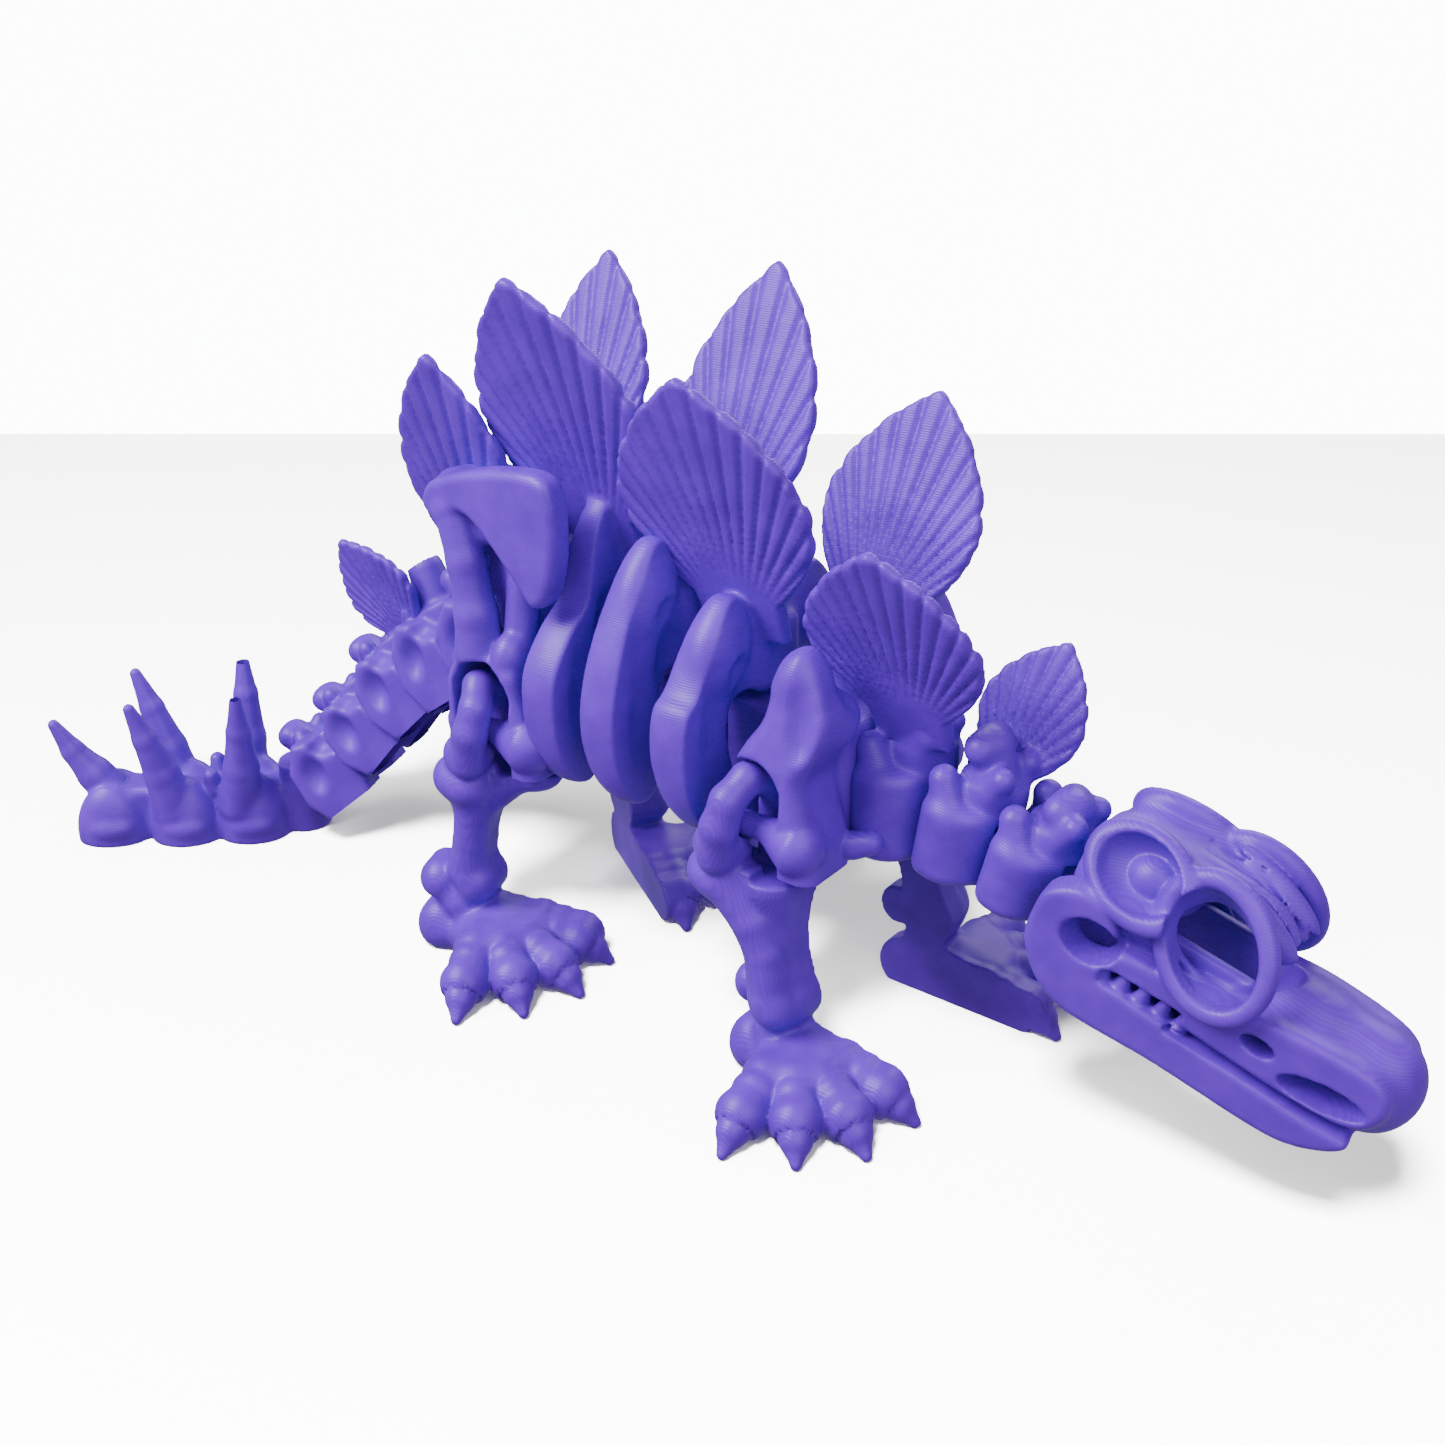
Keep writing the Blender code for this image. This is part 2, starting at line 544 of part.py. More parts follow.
# ---------------------------------------------------------------- the toy
skull()
neck_piece("neck_1", "neck_2", 3.4, 7.5, (2.5, 0, 12.0), [])
neck_piece(
    "neck_2", "neck_3", 4.0, 8.5, (-1.0, 0, 15.0),
    [plate(frame(0, 0, 0), 1, (25.0, 4.5, 62), 19, 21, -8)],
)
neck_piece(
    "neck_3", "shoulder_girdle", 4.6, 9.5, (0.0, 0, 17.5),
    [plate(frame(0, 0, 0), -1, (11.6, -5.0, 74), 29, 31)],
)
shoulder_girdle()
ribs("front_ribs", "middle_ribs", -24.0, 86.0, -1, (-21.6, -6.0, 84), (35, 42), 3)
ribs("middle_ribs", "rear_ribs", -40.0, 93.0, 1, (-37.0, 5.5, 90), (30, 48), -4)
ribs("rear_ribs", "hip_girdle", -54.0, 97.0, -1, (-54.6, -6.0, 94), (34, 43), 11, narrow=True)
hip_girdle()
tail_piece("tail_1", "tail_2", 16.2, [plate(frame(0, 0, 0), -1, (-91.5, -4.0, 77), 26, 43, 0)])
tail_piece("tail_2", "tail_3", 16.2, [])
tail_piece("tail_3", "tail_4", 16.2, [plate(FRAMES["tail_3"], -1, (-8, -3.0, 8), 18, 21, 22)])
tail_piece("tail_4", "tail_5", 16.2, [])
tail_piece("tail_5", "tail_club", 16.2, [])
tail_club()
for word, side, x_front, x_hind, yaw_hind in (("right", -1, -8.5, -71.6, -22.0), ("left", 1, -4.3, -68.2, -32.0)):
    leg(f"front_leg_{word}", side, x_front, 0.0, FRONT_LEG, (8.5, -1.6), [(-4, 2.5, 39.5, 5.4), (6, 1.5, 38.5, 5.0)], (6.5, -1.2))
    leg(f"hind_leg_{word}", side, x_hind, -yaw_hind, HIND_LEG, (-1.5, 0.4), [(-7, 2.5, 39, 5.4), (5, 2.0, 39, 5.0)], (-6, -1.0))

for obj, steps in PLANS:
    for index, shapes in enumerate(steps):
        boolean(obj, "DIFFERENCE" if index % 2 else "UNION", shapes)
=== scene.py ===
"""The looks of the jointed dinosaur skeleton toy: every printed link as one smooth, finely meshed solid.

Each link is modelled in clay: a grid of distances that simple shapes are blended into and carved from, and
that one mesh is drawn around. Sizes are in millimetres, and x, y and z run forward, to the toy's left and up.
"""

import math

import bpy
import numpy as np
from mathutils import Matrix, Vector
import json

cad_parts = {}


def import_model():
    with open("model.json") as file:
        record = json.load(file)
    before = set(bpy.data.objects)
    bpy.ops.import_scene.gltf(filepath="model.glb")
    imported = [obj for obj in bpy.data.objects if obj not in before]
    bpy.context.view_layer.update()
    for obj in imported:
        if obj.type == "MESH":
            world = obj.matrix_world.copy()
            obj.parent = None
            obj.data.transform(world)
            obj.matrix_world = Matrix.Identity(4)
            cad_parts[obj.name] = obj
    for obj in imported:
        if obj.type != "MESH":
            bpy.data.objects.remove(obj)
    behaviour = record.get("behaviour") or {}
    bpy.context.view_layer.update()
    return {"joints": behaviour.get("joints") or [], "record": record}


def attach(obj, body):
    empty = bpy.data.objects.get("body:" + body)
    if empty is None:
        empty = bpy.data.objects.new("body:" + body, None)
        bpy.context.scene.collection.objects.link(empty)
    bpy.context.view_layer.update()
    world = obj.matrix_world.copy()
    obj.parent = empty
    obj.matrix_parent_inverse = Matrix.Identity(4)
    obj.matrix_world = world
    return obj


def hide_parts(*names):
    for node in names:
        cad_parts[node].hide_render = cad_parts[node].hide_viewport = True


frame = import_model()

MM = 0.001
VOXEL = 0.45  # the grid's step, mm
FAR = 9.0  # the distance that empty clay starts with

ORIGIN = (44.1, 0.91, 0.0)  # the ground point between the front ankles, in the frame
BELLY = 44.0  # the height of the flat undersides
BAR_Y = 23.0  # the bars that the legs hang on: their distance from the middle, and their height
BAR_Z = 51.4


# ---------------------------------------------------------------- frames from the joints
def turned(x_axis, z_axis, place):
    """A 4 x 4 frame, in mm, from its Z axis, the rough way of its X axis, and its place."""
    z_axis = np.asarray(z_axis, float)
    z_axis = z_axis / np.linalg.norm(z_axis)
    x_axis = np.asarray(x_axis, float)
    x_axis = x_axis - z_axis * (x_axis @ z_axis)
    x_axis = x_axis / np.linalg.norm(x_axis)
    result = np.eye(4)
    result[:3, 0] = x_axis
    result[:3, 1] = np.cross(z_axis, x_axis)
    result[:3, 2] = z_axis
    result[:3, 3] = place
    return result


def moved(x, y, z, yaw=0.0):
    """A level frame at a place measured from the front ankles' ground point."""
    c, s = math.cos(math.radians(yaw)), math.sin(math.radians(yaw))
    place = np.array([x, y, z]) + ORIGIN
    return turned((c, s, 0), (0, 0, 1), place)


JOINTS = {joint["name"]: joint for joint in frame["joints"]}
FRONT = ["skull", "neck_1", "neck_2", "neck_3", "shoulder_girdle", "front_ribs", "middle_ribs"]
REAR = ["rear_ribs", "hip_girdle", "tail_1", "tail_2", "tail_3", "tail_4", "tail_5", "tail_club"]


def post_frames():
    """{link: the frame of its front post}.

    The middle ribs are the root body, so as far back as those a post's joint is named for the link ahead.
    """
    posts = {}
    for ahead, link in zip(FRONT, FRONT[1:]):
        posts[link] = JOINTS[f"{ahead}_yaw"]
    for link in REAR:
        posts[link] = JOINTS[f"{link}_yaw"]
    order = list(posts)
    spots = {link: np.array(joint["pos_m"]) * 1000 for link, joint in posts.items()}
    mounts = {mount["name"]: mount for mount in frame["record"]["mounts"]}
    spots["end"] = np.array(mounts["tail_club_base"]["pos_m"]) * 1000
    result = {}
    for link, behind in zip(order, [*order[1:], "end"]):
        result[link] = turned(spots[link] - spots[behind], posts[link]["axis"], spots[link])
    return result


POSTS = post_frames()
HERE = moved(0, 0, 0)


# ---------------------------------------------------------------- clay
class Shape:
    """A distance function with the box that holds the shape, in the shape's own frame."""

    def __init__(self, distance, low, high, place=None):
        self.distance = distance
        self.low = np.array(low, float)
        self.high = np.array(high, float)
        self.place = place

    def at(self, place):
        return Shape(self.distance, self.low, self.high, place)


class Clay:
    """A grid of distances to a solid's surface, in a link's frame."""

    def __init__(self, place, low, high, step=None):
        self.place = place
        self.step = step or VOXEL
        self.axes = [np.arange(a, b + self.step, self.step, dtype=np.float32) for a, b in zip(low, high)]
        self.value = np.full([len(axis) for axis in self.axes], FAR, np.float32)

    def window(self, shape, reach):
        """The part of the grid that the shape can touch, and the grid's points there in the shape's frame."""
        if shape.place is None:
            low, high = shape.low - reach, shape.high + reach
        else:
            corners = np.array(np.meshgrid(*zip(shape.low - reach, shape.high + reach))).reshape(3, -1)
            spots = (np.linalg.inv(self.place) @ shape.place @ np.vstack([corners, np.ones(8)]))[:3]
            low, high = spots.min(axis=1), spots.max(axis=1)
        cut = tuple(
            slice(int(np.searchsorted(axis, a)), int(np.searchsorted(axis, b)))
            for axis, a, b in zip(self.axes, low, high)
        )
        x = self.axes[0][cut[0]][:, None, None]
        y = self.axes[1][cut[1]][None, :, None]
        z = self.axes[2][cut[2]][None, None, :]
        if shape.place is not None:
            way = (np.linalg.inv(shape.place) @ self.place).astype(np.float32)
            x, y, z = (way[row, 0] * x + way[row, 1] * y + way[row, 2] * z + way[row, 3] for row in range(3))
        return cut, x, y, z

    def join(self, shape, blend, sign):
        """Adds the shape with sign 1 or carves it away with sign -1, rounding where they meet by the blend."""
        cut, x, y, z = self.window(shape, max(2.0, 2 * blend))
        if min(s.stop - s.start for s in cut) <= 0:
            return self
        here = sign * self.value[cut]
        there = shape.distance(x, y, z)
        if blend:
            mix = np.clip(0.5 + 0.5 * (here - there) / blend, 0, 1)
            self.value[cut] = sign * (here + (there - here) * mix - blend * mix * (1 - mix))
        else:
            self.value[cut] = sign * np.minimum(here, there)
        return self

    def add(self, shape, blend=0.0):
        return self.join(shape, blend, 1)

    def carve(self, shape, blend=0.0):
        return self.join(shape, blend, -1)


def surface(value, axes):
    """Points and quads of the surface where the value is 0, by surface nets."""
    inside = value < 0
    counts = np.zeros([n - 1 for n in value.shape], np.int8)
    corners = [(i, j, k) for i in (0, 1) for j in (0, 1) for k in (0, 1)]
    for i, j, k in corners:
        counts += inside[i : i + counts.shape[0], j : j + counts.shape[1], k : k + counts.shape[2]]
    cells = np.argwhere((counts > 0) & (counts < 8))
    number = np.full(counts.shape, -1, np.int32)
    number[tuple(cells.T)] = np.arange(len(cells))
    total = np.zeros((len(cells), 3), np.float64)
    crossings = np.zeros(len(cells))
    for a in corners:
        for axis in range(3):
            if a[axis]:
                continue
            b = list(a)
            b[axis] = 1
            near = value[tuple((cells + a).T)]
            away = value[tuple((cells + b).T)]
            crossed = (near < 0) != (away < 0)
            part = np.where(crossed, near / np.where(crossed, near - away, 1), 0)
            spot = np.array(a, float)[None, :] + part[:, None] * np.eye(3)[axis]
            total += spot * crossed[:, None]
            crossings += crossed
    points = cells + total / crossings[:, None]
    step = axes[0][1] - axes[0][0]
    points = points * step + np.array([axis[0] for axis in axes])
    quads = []
    for axis in range(3):
        u, v = (axis + 1) % 3, (axis + 2) % 3
        low = [slice(None)] * 3
        high = [slice(None)] * 3
        low[axis], high[axis] = slice(0, -1), slice(1, None)
        edges = inside[tuple(low)] != inside[tuple(high)]
        spots = np.argwhere(edges)
        spots = spots[(spots[:, u] > 0) & (spots[:, v] > 0)]
        spots = spots[(spots[:, u] < value.shape[u] - 1) & (spots[:, v] < value.shape[v] - 1)]
        outward = inside[tuple(spots.T)]
        ring = []
        for du, dv in ((-1, -1), (0, -1), (0, 0), (-1, 0)):
            cell = spots.copy()
            cell[:, u] += du
            cell[:, v] += dv
            ring.append(number[tuple(cell.T)])
        ring = np.stack(ring, axis=1)
        ring[~outward] = ring[~outward][:, ::-1]
        quads.append(ring)
    return points, np.concatenate(quads)


def mesh_of(name, clay, material):
    """An object with the clay's surface, its origin and axes those of the clay's frame."""
    points, quads = surface(clay.value, clay.axes)
    mesh = bpy.data.meshes.new(name)
    mesh.vertices.add(len(points))
    mesh.vertices.foreach_set("co", (points * MM).astype(np.float32).ravel())
    mesh.loops.add(4 * len(quads))
    mesh.loops.foreach_set("vertex_index", quads.astype(np.int32).ravel())
    mesh.polygons.add(len(quads))
    mesh.polygons.foreach_set("loop_start", np.arange(0, 4 * len(quads), 4, dtype=np.int32))
    mesh.polygons.foreach_set("use_smooth", np.ones(len(quads), bool))
    mesh.update(calc_edges=True)
    mesh.validate()
    mesh.materials.append(material)
    obj = bpy.data.objects.new(name, mesh)
    bpy.context.scene.collection.objects.link(obj)
    place = Matrix(clay.place.tolist())
    place.translation = Vector(clay.place[:3, 3]) * MM
    obj.matrix_world = place
    return obj


# ---------------------------------------------------------------- shapes
def spin(turn):
    """The rotation for turns about X, then Y, then Z, in degrees."""
    result = np.eye(3)
    for angle, axis in zip(turn, range(3)):
        c, s = math.cos(math.radians(angle)), math.sin(math.radians(angle))
        step = np.eye(3)
        u, v = (axis + 1) % 3, (axis + 2) % 3
        step[u, u], step[u, v], step[v, u], step[v, v] = c, -s, s, c
        result = step @ result
    return result.astype(np.float32)


def own(x, y, z, at, turn):
    """The points as seen from a shape's own axes."""
    way = spin(turn)
    x, y, z = x - at[0], y - at[1], z - at[2]
    if not any(turn):
        return x, y, z
    return tuple(way[0, i] * x + way[1, i] * y + way[2, i] * z for i in range(3))


def around(at, size, turn):
    """The box that holds a shape of this half size."""
    reach = np.abs(spin(turn)) @ np.abs(np.array(size, float))
    return np.array(at) - reach, np.array(at) + reach


def rounded(flat, deep, edge):
    """The distance to a solid with rounded edges, from those to its drawn-in sides and ends."""
    outer = np.sqrt(np.maximum(flat, 0) ** 2 + np.maximum(deep, 0) ** 2)
    return outer + np.minimum(np.maximum(flat, deep), 0) - edge


def ball(at, radii, turn=(0, 0, 0)):
    a, b, c = (float(r) for r in radii)

    def distance(x, y, z):
        x, y, z = own(x, y, z, at, turn)
        near = np.sqrt((x / a) ** 2 + (y / b) ** 2 + (z / c) ** 2)
        steep = np.sqrt((x / a**2) ** 2 + (y / b**2) ** 2 + (z / c**2) ** 2)
        return near * (near - 1) / np.maximum(steep, 1e-6)

    return Shape(distance, *around(at, (a, b, c), turn))


def box(low, high, edge=0.5, turn=(0, 0, 0)):
    """A box with rounded edges, turned about its own middle."""
    low, high = np.minimum(low, high), np.maximum(low, high)
    at = (low + high) / 2
    half = (high - low) / 2

    def distance(x, y, z):
        x, y, z = own(x, y, z, at, turn)
        p, q, r = abs(x) - half[0] + edge, abs(y) - half[1] + edge, abs(z) - half[2] + edge
        outer = np.sqrt(np.maximum(p, 0) ** 2 + np.maximum(q, 0) ** 2 + np.maximum(r, 0) ** 2)
        return outer + np.minimum(np.maximum(np.maximum(p, q), r), 0) - edge

    return Shape(distance, *around(at, half, turn))


def drum(at, radius, half, edge=0.5, turn=(0, 0, 0)):
    """A cylinder along its own Z."""

    def distance(x, y, z):
        x, y, z = own(x, y, z, at, turn)
        return rounded(np.sqrt(x * x + y * y) - radius + edge, abs(z) - half + edge, edge)

    return Shape(distance, *around(at, (radius, radius, half), turn))


def bone(a, b, start, end=None):
    """A rod with round ends from a to b, its radius running from start to end."""
    a, b = np.array(a, float), np.array(b, float)
    end = start if end is None else end
    run = b - a
    length = float(run @ run)
    wide = max(start, end)

    def distance(x, y, z):
        x, y, z = x - a[0], y - a[1], z - a[2]
        part = np.clip((x * run[0] + y * run[1] + z * run[2]) / length, 0, 1)
        x, y, z = x - part * run[0], y - part * run[1], z - part * run[2]
        return np.sqrt(x * x + y * y + z * z) - (start + (end - start) * part)

    return Shape(distance, np.minimum(a, b) - wide, np.maximum(a, b) + wide)


def limb(points, radii):
    """Bones joined end to end."""
    return [bone(a, b, r, s) for a, b, r, s in zip(points, points[1:], radii, radii[1:])]


def rim(at, radii, tube, turn, slant):
    """An oval ring around its own Z, its long axis slanted in its own plane."""
    a, b = radii
    c, s = math.cos(math.radians(slant)), math.sin(math.radians(slant))

    def distance(x, y, z):
        x, y, z = own(x, y, z, at, turn)
        x, y = x * c + y * s, y * c - x * s
        near = np.sqrt((x / a) ** 2 + (y / b) ** 2)
        steep = np.sqrt((x / a**2) ** 2 + (y / b**2) ** 2)
        flat = near * (near - 1) / np.maximum(steep, 1e-6)
        return np.sqrt(flat * flat + z * z) - tube

    wide = max(radii) + tube
    return Shape(distance, *around(at, (wide, wide, tube), turn))


def smooth_path(points, steps=6):
    """A closed Catmull-Rom curve through the points."""
    points = np.array(points, float)
    before, after, later = np.roll(points, 1, 0), np.roll(points, -1, 0), np.roll(points, -2, 0)
    found = []
    for step in range(steps):
        t = step / steps
        weights = (
            0.5 * (-t + 2 * t * t - t**3),
            0.5 * (2 - 5 * t * t + 3 * t**3),
            0.5 * (t + 4 * t * t - 3 * t**3),
            0.5 * (-t * t + t**3),
        )
        found.append(weights[0] * before + weights[1] * points + weights[2] * after + weights[3] * later)
    return np.stack(found, axis=1).reshape(-1, 2)


def outline_distance(path, u, v):
    """The distance from points of a plane to a closed outline, less than 0 inside it."""
    best = np.full(np.broadcast(u, v).shape, 1e9, np.float32)
    inside = np.zeros(best.shape, bool)
    for (ax, ay), (bx, by) in zip(path, np.roll(path, -1, 0)):
        ex, ey = bx - ax, by - ay
        px, py = u - ax, v - ay
        part = np.clip((px * ex + py * ey) / (ex * ex + ey * ey + 1e-12), 0, 1)
        best = np.minimum(best, (px - part * ex) ** 2 + (py - part * ey) ** 2)
        if ay != by:
            cross = ax + (v - ay) * ex / ey
            inside ^= ((ay > v) != (by > v)) & (u < cross)
    return np.where(inside, -1, 1) * np.sqrt(best)


def slab(outline, plane, low, high, edge=1.0, smooth=True, dish=None):
    """An outline in the plane of two axes, such as "xz", thickened along the third from low to high."""
    axes = ["xyz".index(letter) for letter in plane]
    third = 3 - sum(axes)
    path = smooth_path(outline) if smooth else np.array(outline, float)
    middle, half = (low + high) / 2, abs(high - low) / 2

    def distance(x, y, z):
        spots = (x, y, z)
        flat = outline_distance(path, spots[axes[0]], spots[axes[1]]) + edge
        deep = abs(spots[third] - middle) - half + edge
        if dish is not None:
            deep = deep + dish(*spots)
        return rounded(flat, deep, edge)

    least, most = np.zeros(3), np.zeros(3)
    for index, axis in enumerate(axes):
        least[axis], most[axis] = path[:, index].min(), path[:, index].max()
    least[third], most[third] = middle - half, middle + half
    return Shape(distance, least, most)


# ---------------------------------------------------------------- what every spine joint shares
# The link behind reaches with an arm and a ring into a slot in the drum ahead, and around the drum's post.
POST_R = 1.7
BORE_R = 2.3
RING_R = 3.9
RING_HALF = 2.6
SLOT_R = 4.6
SLOT_HALF = 3.4
ARM_HALF = 1.7
CLEARANCE = 0.6
# Each drum's radius, and its bottom and top from its post's middle.
DRUMS = {
    "neck_1": (5.8, -9.0, 8.0),
    "neck_2": (5.8, -9.4, 9.0),
    "neck_3": (6.1, -10.0, 10.5),
    "shoulder_girdle": (6.5, -10.0, 9.0),
    "front_ribs": (6.5, -10.0, 9.0),
    "middle_ribs": (6.5, -10.0, 9.0),
    "rear_ribs": (6.5, -10.0, 9.0),
    "hip_girdle": (6.5, -10.0, 9.0),
    "tail_1": (6.0, -8.6, 8.6),
    "tail_2": (6.0, -8.3, 8.3),
    "tail_3": (5.9, -7.9, 7.9),
    "tail_4": (5.8, -7.5, 7.5),
    "tail_5": (5.7, -7.0, 7.0),
    "tail_club": (5.4, -10.3, 6.2),
}


def link_drum(link):
    radius, low, high = DRUMS[link]
    return drum((0, 0, (low + high) / 2), radius, (high - low) / 2, 0.6).at(POSTS[link])


def joined(clay, link, behind=None, reach=1.6):
    """Cuts the drum behind's room and the link's own slot, then adds the link's post and its ring.

    The ring's arm starts a reach ahead of the drum behind. A link with no drum, or none behind, gives None.
    """
    if behind:
        radius, low, high = DRUMS[behind]
        low, high = low - 4, high + CLEARANCE
        room = drum((0, 0, (low + high) / 2), radius + CLEARANCE, (high - low) / 2, 0.3)
        clay.carve(room.at(POSTS[behind]), 0.4)
    if link:
        radius, _, _ = DRUMS[link]
        place = POSTS[link]
        clay.carve(drum((0, 0, 0), SLOT_R, SLOT_HALF, 0.4).at(place), 0.3)
        clay.carve(box((0, -4.4, -SLOT_HALF), (radius + 3, 4.4, SLOT_HALF), 0.4).at(place), 0.5)
        clay.add(drum((0, 0, 0), POST_R, SLOT_HALF + 1, 0.1).at(place), 0.5)
    if behind:
        radius, _, _ = DRUMS[behind]
        place = POSTS[behind]
        clay.add(drum((0, 0, 0), RING_R, RING_HALF, 0.6).at(place))
        half = RING_HALF - 0.4
        arm = box((BORE_R + 0.8, -ARM_HALF, -half), (radius + CLEARANCE + reach, ARM_HALF, half), 0.7)
        clay.add(arm.at(place), 0.8)
        clay.carve(drum((0, 0, 0), BORE_R, RING_HALF + 2, 0.1).at(place), 0.2)
    return clay


def above(clay, height):
    """Cuts the clay flat at a height above the table."""
    return clay.carve(box((-300, -200, height - 60), (300, 200, height), 0.1).at(np.eye(4)))


# ---------------------------------------------------------------- plates
RIB_FAN = 1.15  # the angle that a plate's ribs spread over
GROOVE = 0.7  # the depth between them


def leaf(width, height, tilt, side, at, lean=21.0, thick=3.0, ribs=11):
    """A ribbed, fan-shaped plate on a stalk: its tip leans out to its side and, with tilt, to the back."""
    # The level of the widest part, the stalk's half width and the scallops' depth, as parts of the whole.
    widest, stalk, scallop = 0.42, 0.23, 0.022
    scallops, edge = 5.5, 0.9
    half = [(stalk * 0.9, -0.2)]
    for part in np.linspace(0, 1, 49):
        if part < widest:
            wide = stalk + (0.5 - stalk) * math.sin(math.pi / 2 * part / widest) ** 0.9
        else:
            wide = 0.5 * (1 - ((part - widest) / (1 - widest)) ** 1.75) ** 0.85
        notch = abs(math.sin(math.pi * scallops * part)) ** 0.5 - 1
        half.append((max(wide + scallop * notch * (0.2 < part < 0.95), 0.0), part))
    half = [(x * width, y * height) for x, y in half]
    path = np.array([*((-x, y) for x, y in half), *half[-2::-1]])
    bend = math.radians(tilt)
    turn = np.array([[math.cos(bend), -math.sin(bend)], [math.sin(bend), math.cos(bend)]])
    focus = turn @ np.array([0.0, -0.18 * height])
    path = path @ turn.T

    def grooves(u, w):
        """How deep the grooves that fan out from below the stalk are."""
        fan = np.arctan2(u - focus[0], w - focus[1]) + bend
        wave = np.abs((fan * ribs / RIB_FAN) % 1.0 - 0.5) * 2
        away = np.sqrt((u - focus[0]) ** 2 + (w - focus[1]) ** 2)
        depth = np.clip((away - 0.22 * height) / (0.3 * height), 0, 1)
        return GROOVE * depth * np.clip((0.45 - wave) / 0.45, 0, 1) ** 0.8

    def distance(x, y, z):
        thin = thick / 2 * (1 - 0.25 * np.clip(z / height, 0, 1))
        return rounded(outline_distance(path, x, z) + edge, abs(y) - thin + edge + grooves(x, z), edge)

    low = np.array([path[:, 0].min(), -thick, path[:, 1].min()])
    high = np.array([path[:, 0].max(), thick, path[:, 1].max()])
    place = moved(*at)
    upright = np.eye(4)
    upright[:3, :3] = spin((-side * lean, 0, 0))
    return Shape(distance, low, high, place @ upright)


# ---------------------------------------------------------------- skull
UPPER_CHEEK = [
    (-15, -10), (-11, -14.6), (0, -16.6), (20, -18.8), (30, -18), (33, -12.5), (29, -8), (16, -7.4), (4, -9),
]
JAW = [
    (-27, -9), (-26, -17), (-18, -24.4), (0, -25.4), (17, -26.8), (24, -26.0), (29.6, -22.8), (29.6, -20.4),
    (21, -20.2), (2, -17.6), (-10, -15.4), (-13.5, -5.5), (-20, -2), (-25.5, -4.5),
]


def skull_mass(place):
    """The braincase, the snout, and a cheek and a jaw at each side, all solid."""
    clay = Clay(place, (-34, -17, -27), (38, 17, 16))
    clay.add(ball((-14.5, 0, -3.6), (13.5, 12.0, 10.0)))
    clay.add(ball((-2, 0, -3.4), (13, 10.4, 9.4)), 4)
    clay.add(ball((16, 0, -12), (15.5, 7.6, 7.4)), 4)
    clay.add(ball((28.4, 0, -14.0), (7.8, 7.6, 8.8)), 3)
    for side in (-1, 1):
        splay = np.eye(4)
        splay[:3, :3] = spin((0, 0, -side * 6.0))
        splay[:3, 3] = (0, side * 9.4, 0)
        cheek = place @ splay
        clay.add(slab(UPPER_CHEEK, "xz", -2.8, 2.6, 1.4).at(cheek), 2.0)
        clay.add(slab(JAW, "xz", -3.4, 2.4, 1.3).at(cheek), 0.8)
    return clay


def temple(clay, side):
    """The brow, and the oval opening behind the eye with its rim and the ball inside it."""
    clay.add(ball((-13, side * 6.6, 4.0), (10.5, 5.0, 3.6), (side * 10, 6, side * 6)), 2.0)
    clay.add(ball((3, side * 4.6, 3.6), (9, 2.4, 2.8), (0, 24, 0)), 1.5)
    clay.add(rim((-14.2, side * 9.6, 2.6), (8.6, 6.0), 1.9, (90 + side * 34, 0, side * 8), -14), 1.0)
    clay.carve(ball((-14.4, side * 10.8, 3.6), (7.4, 6.0, 4.8), (side * -34, 10, 0)), 0.6)
    clay.add(ball((-13, side * 5.6, 0.6), (4.6, 3.6, 4.0)), 0.4)


def eye(clay, side):
    facing = (90 + side * 17, 0, side * 5)
    clay.add(rim((0.4, side * 10.2, -1.0), (10.6, 8.0), 1.8, facing, -48), 0.8)
    clay.carve(ball((0.4, side * 11.2, -1.0), (9.3, 8.0, 6.8), (0, 48, 0)), 0.5)


def face_openings(clay, side):
    """The jaw's opening, the room for the teeth, the mouth's line, and the snout's two holes and its dish."""
    clay.carve(ball((-16.5, side * 13, -10.0), (4.8, 6.4, 4.0)), 0.8)
    clay.carve(box((-13, side * 8, -16.6), (1, side * 15, -13.6), 0.9, (0, 4, 0)), 0.6)
    clay.carve(box((-1, side * 5, -19.4), (29, side * 16, -18.5), 0.4, (0, 3.8, 0)), 0.3)
    clay.carve(ball((12.4, side * 9.2, -12.6), (2.9, 4.6, 1.6), (0, 6, 0)), 0.4)
    clay.carve(ball((23.8, side * 8.8, -15.4), (6.8, 6.0, 2.4), (0, -4, 0)), 0.5)
    clay.carve(ball((22.5, side * 5.2, -5.4), (5.4, 2.4, 1.5), (side * -30, 8, 0)), 0.8)


def teeth(clay, side):
    """Five teeth, each smaller than the one behind it."""
    rearmost, pitch = -13.5, 3.6
    for step in range(5):
        x = rearmost + pitch * step
        size = 2.2 - 0.22 * step
        y = side * (11.4 - 0.11 * (x - rearmost))
        root, tip = (x, y, -17.6 - 0.1 * step), (x + 0.6, y + side * 0.6, -13.2 - 0.2 * step)
        clay.add(bone(root, tip, size, 0.8), 0.5)


def brow_grooves(clay, side):
    for row, depth in ((1.6, 0.5), (4.0, 0.45)):
        y = side * row
        spots = [(-9, y, 6.6), (0, y, 6.2), (9, side * (row + 0.3), 1.0), (17, y, -4.6)]
        for stretch in limb(spots, (0.6, 0.7, 0.7, 0.3)):
            clay.carve(stretch, depth)


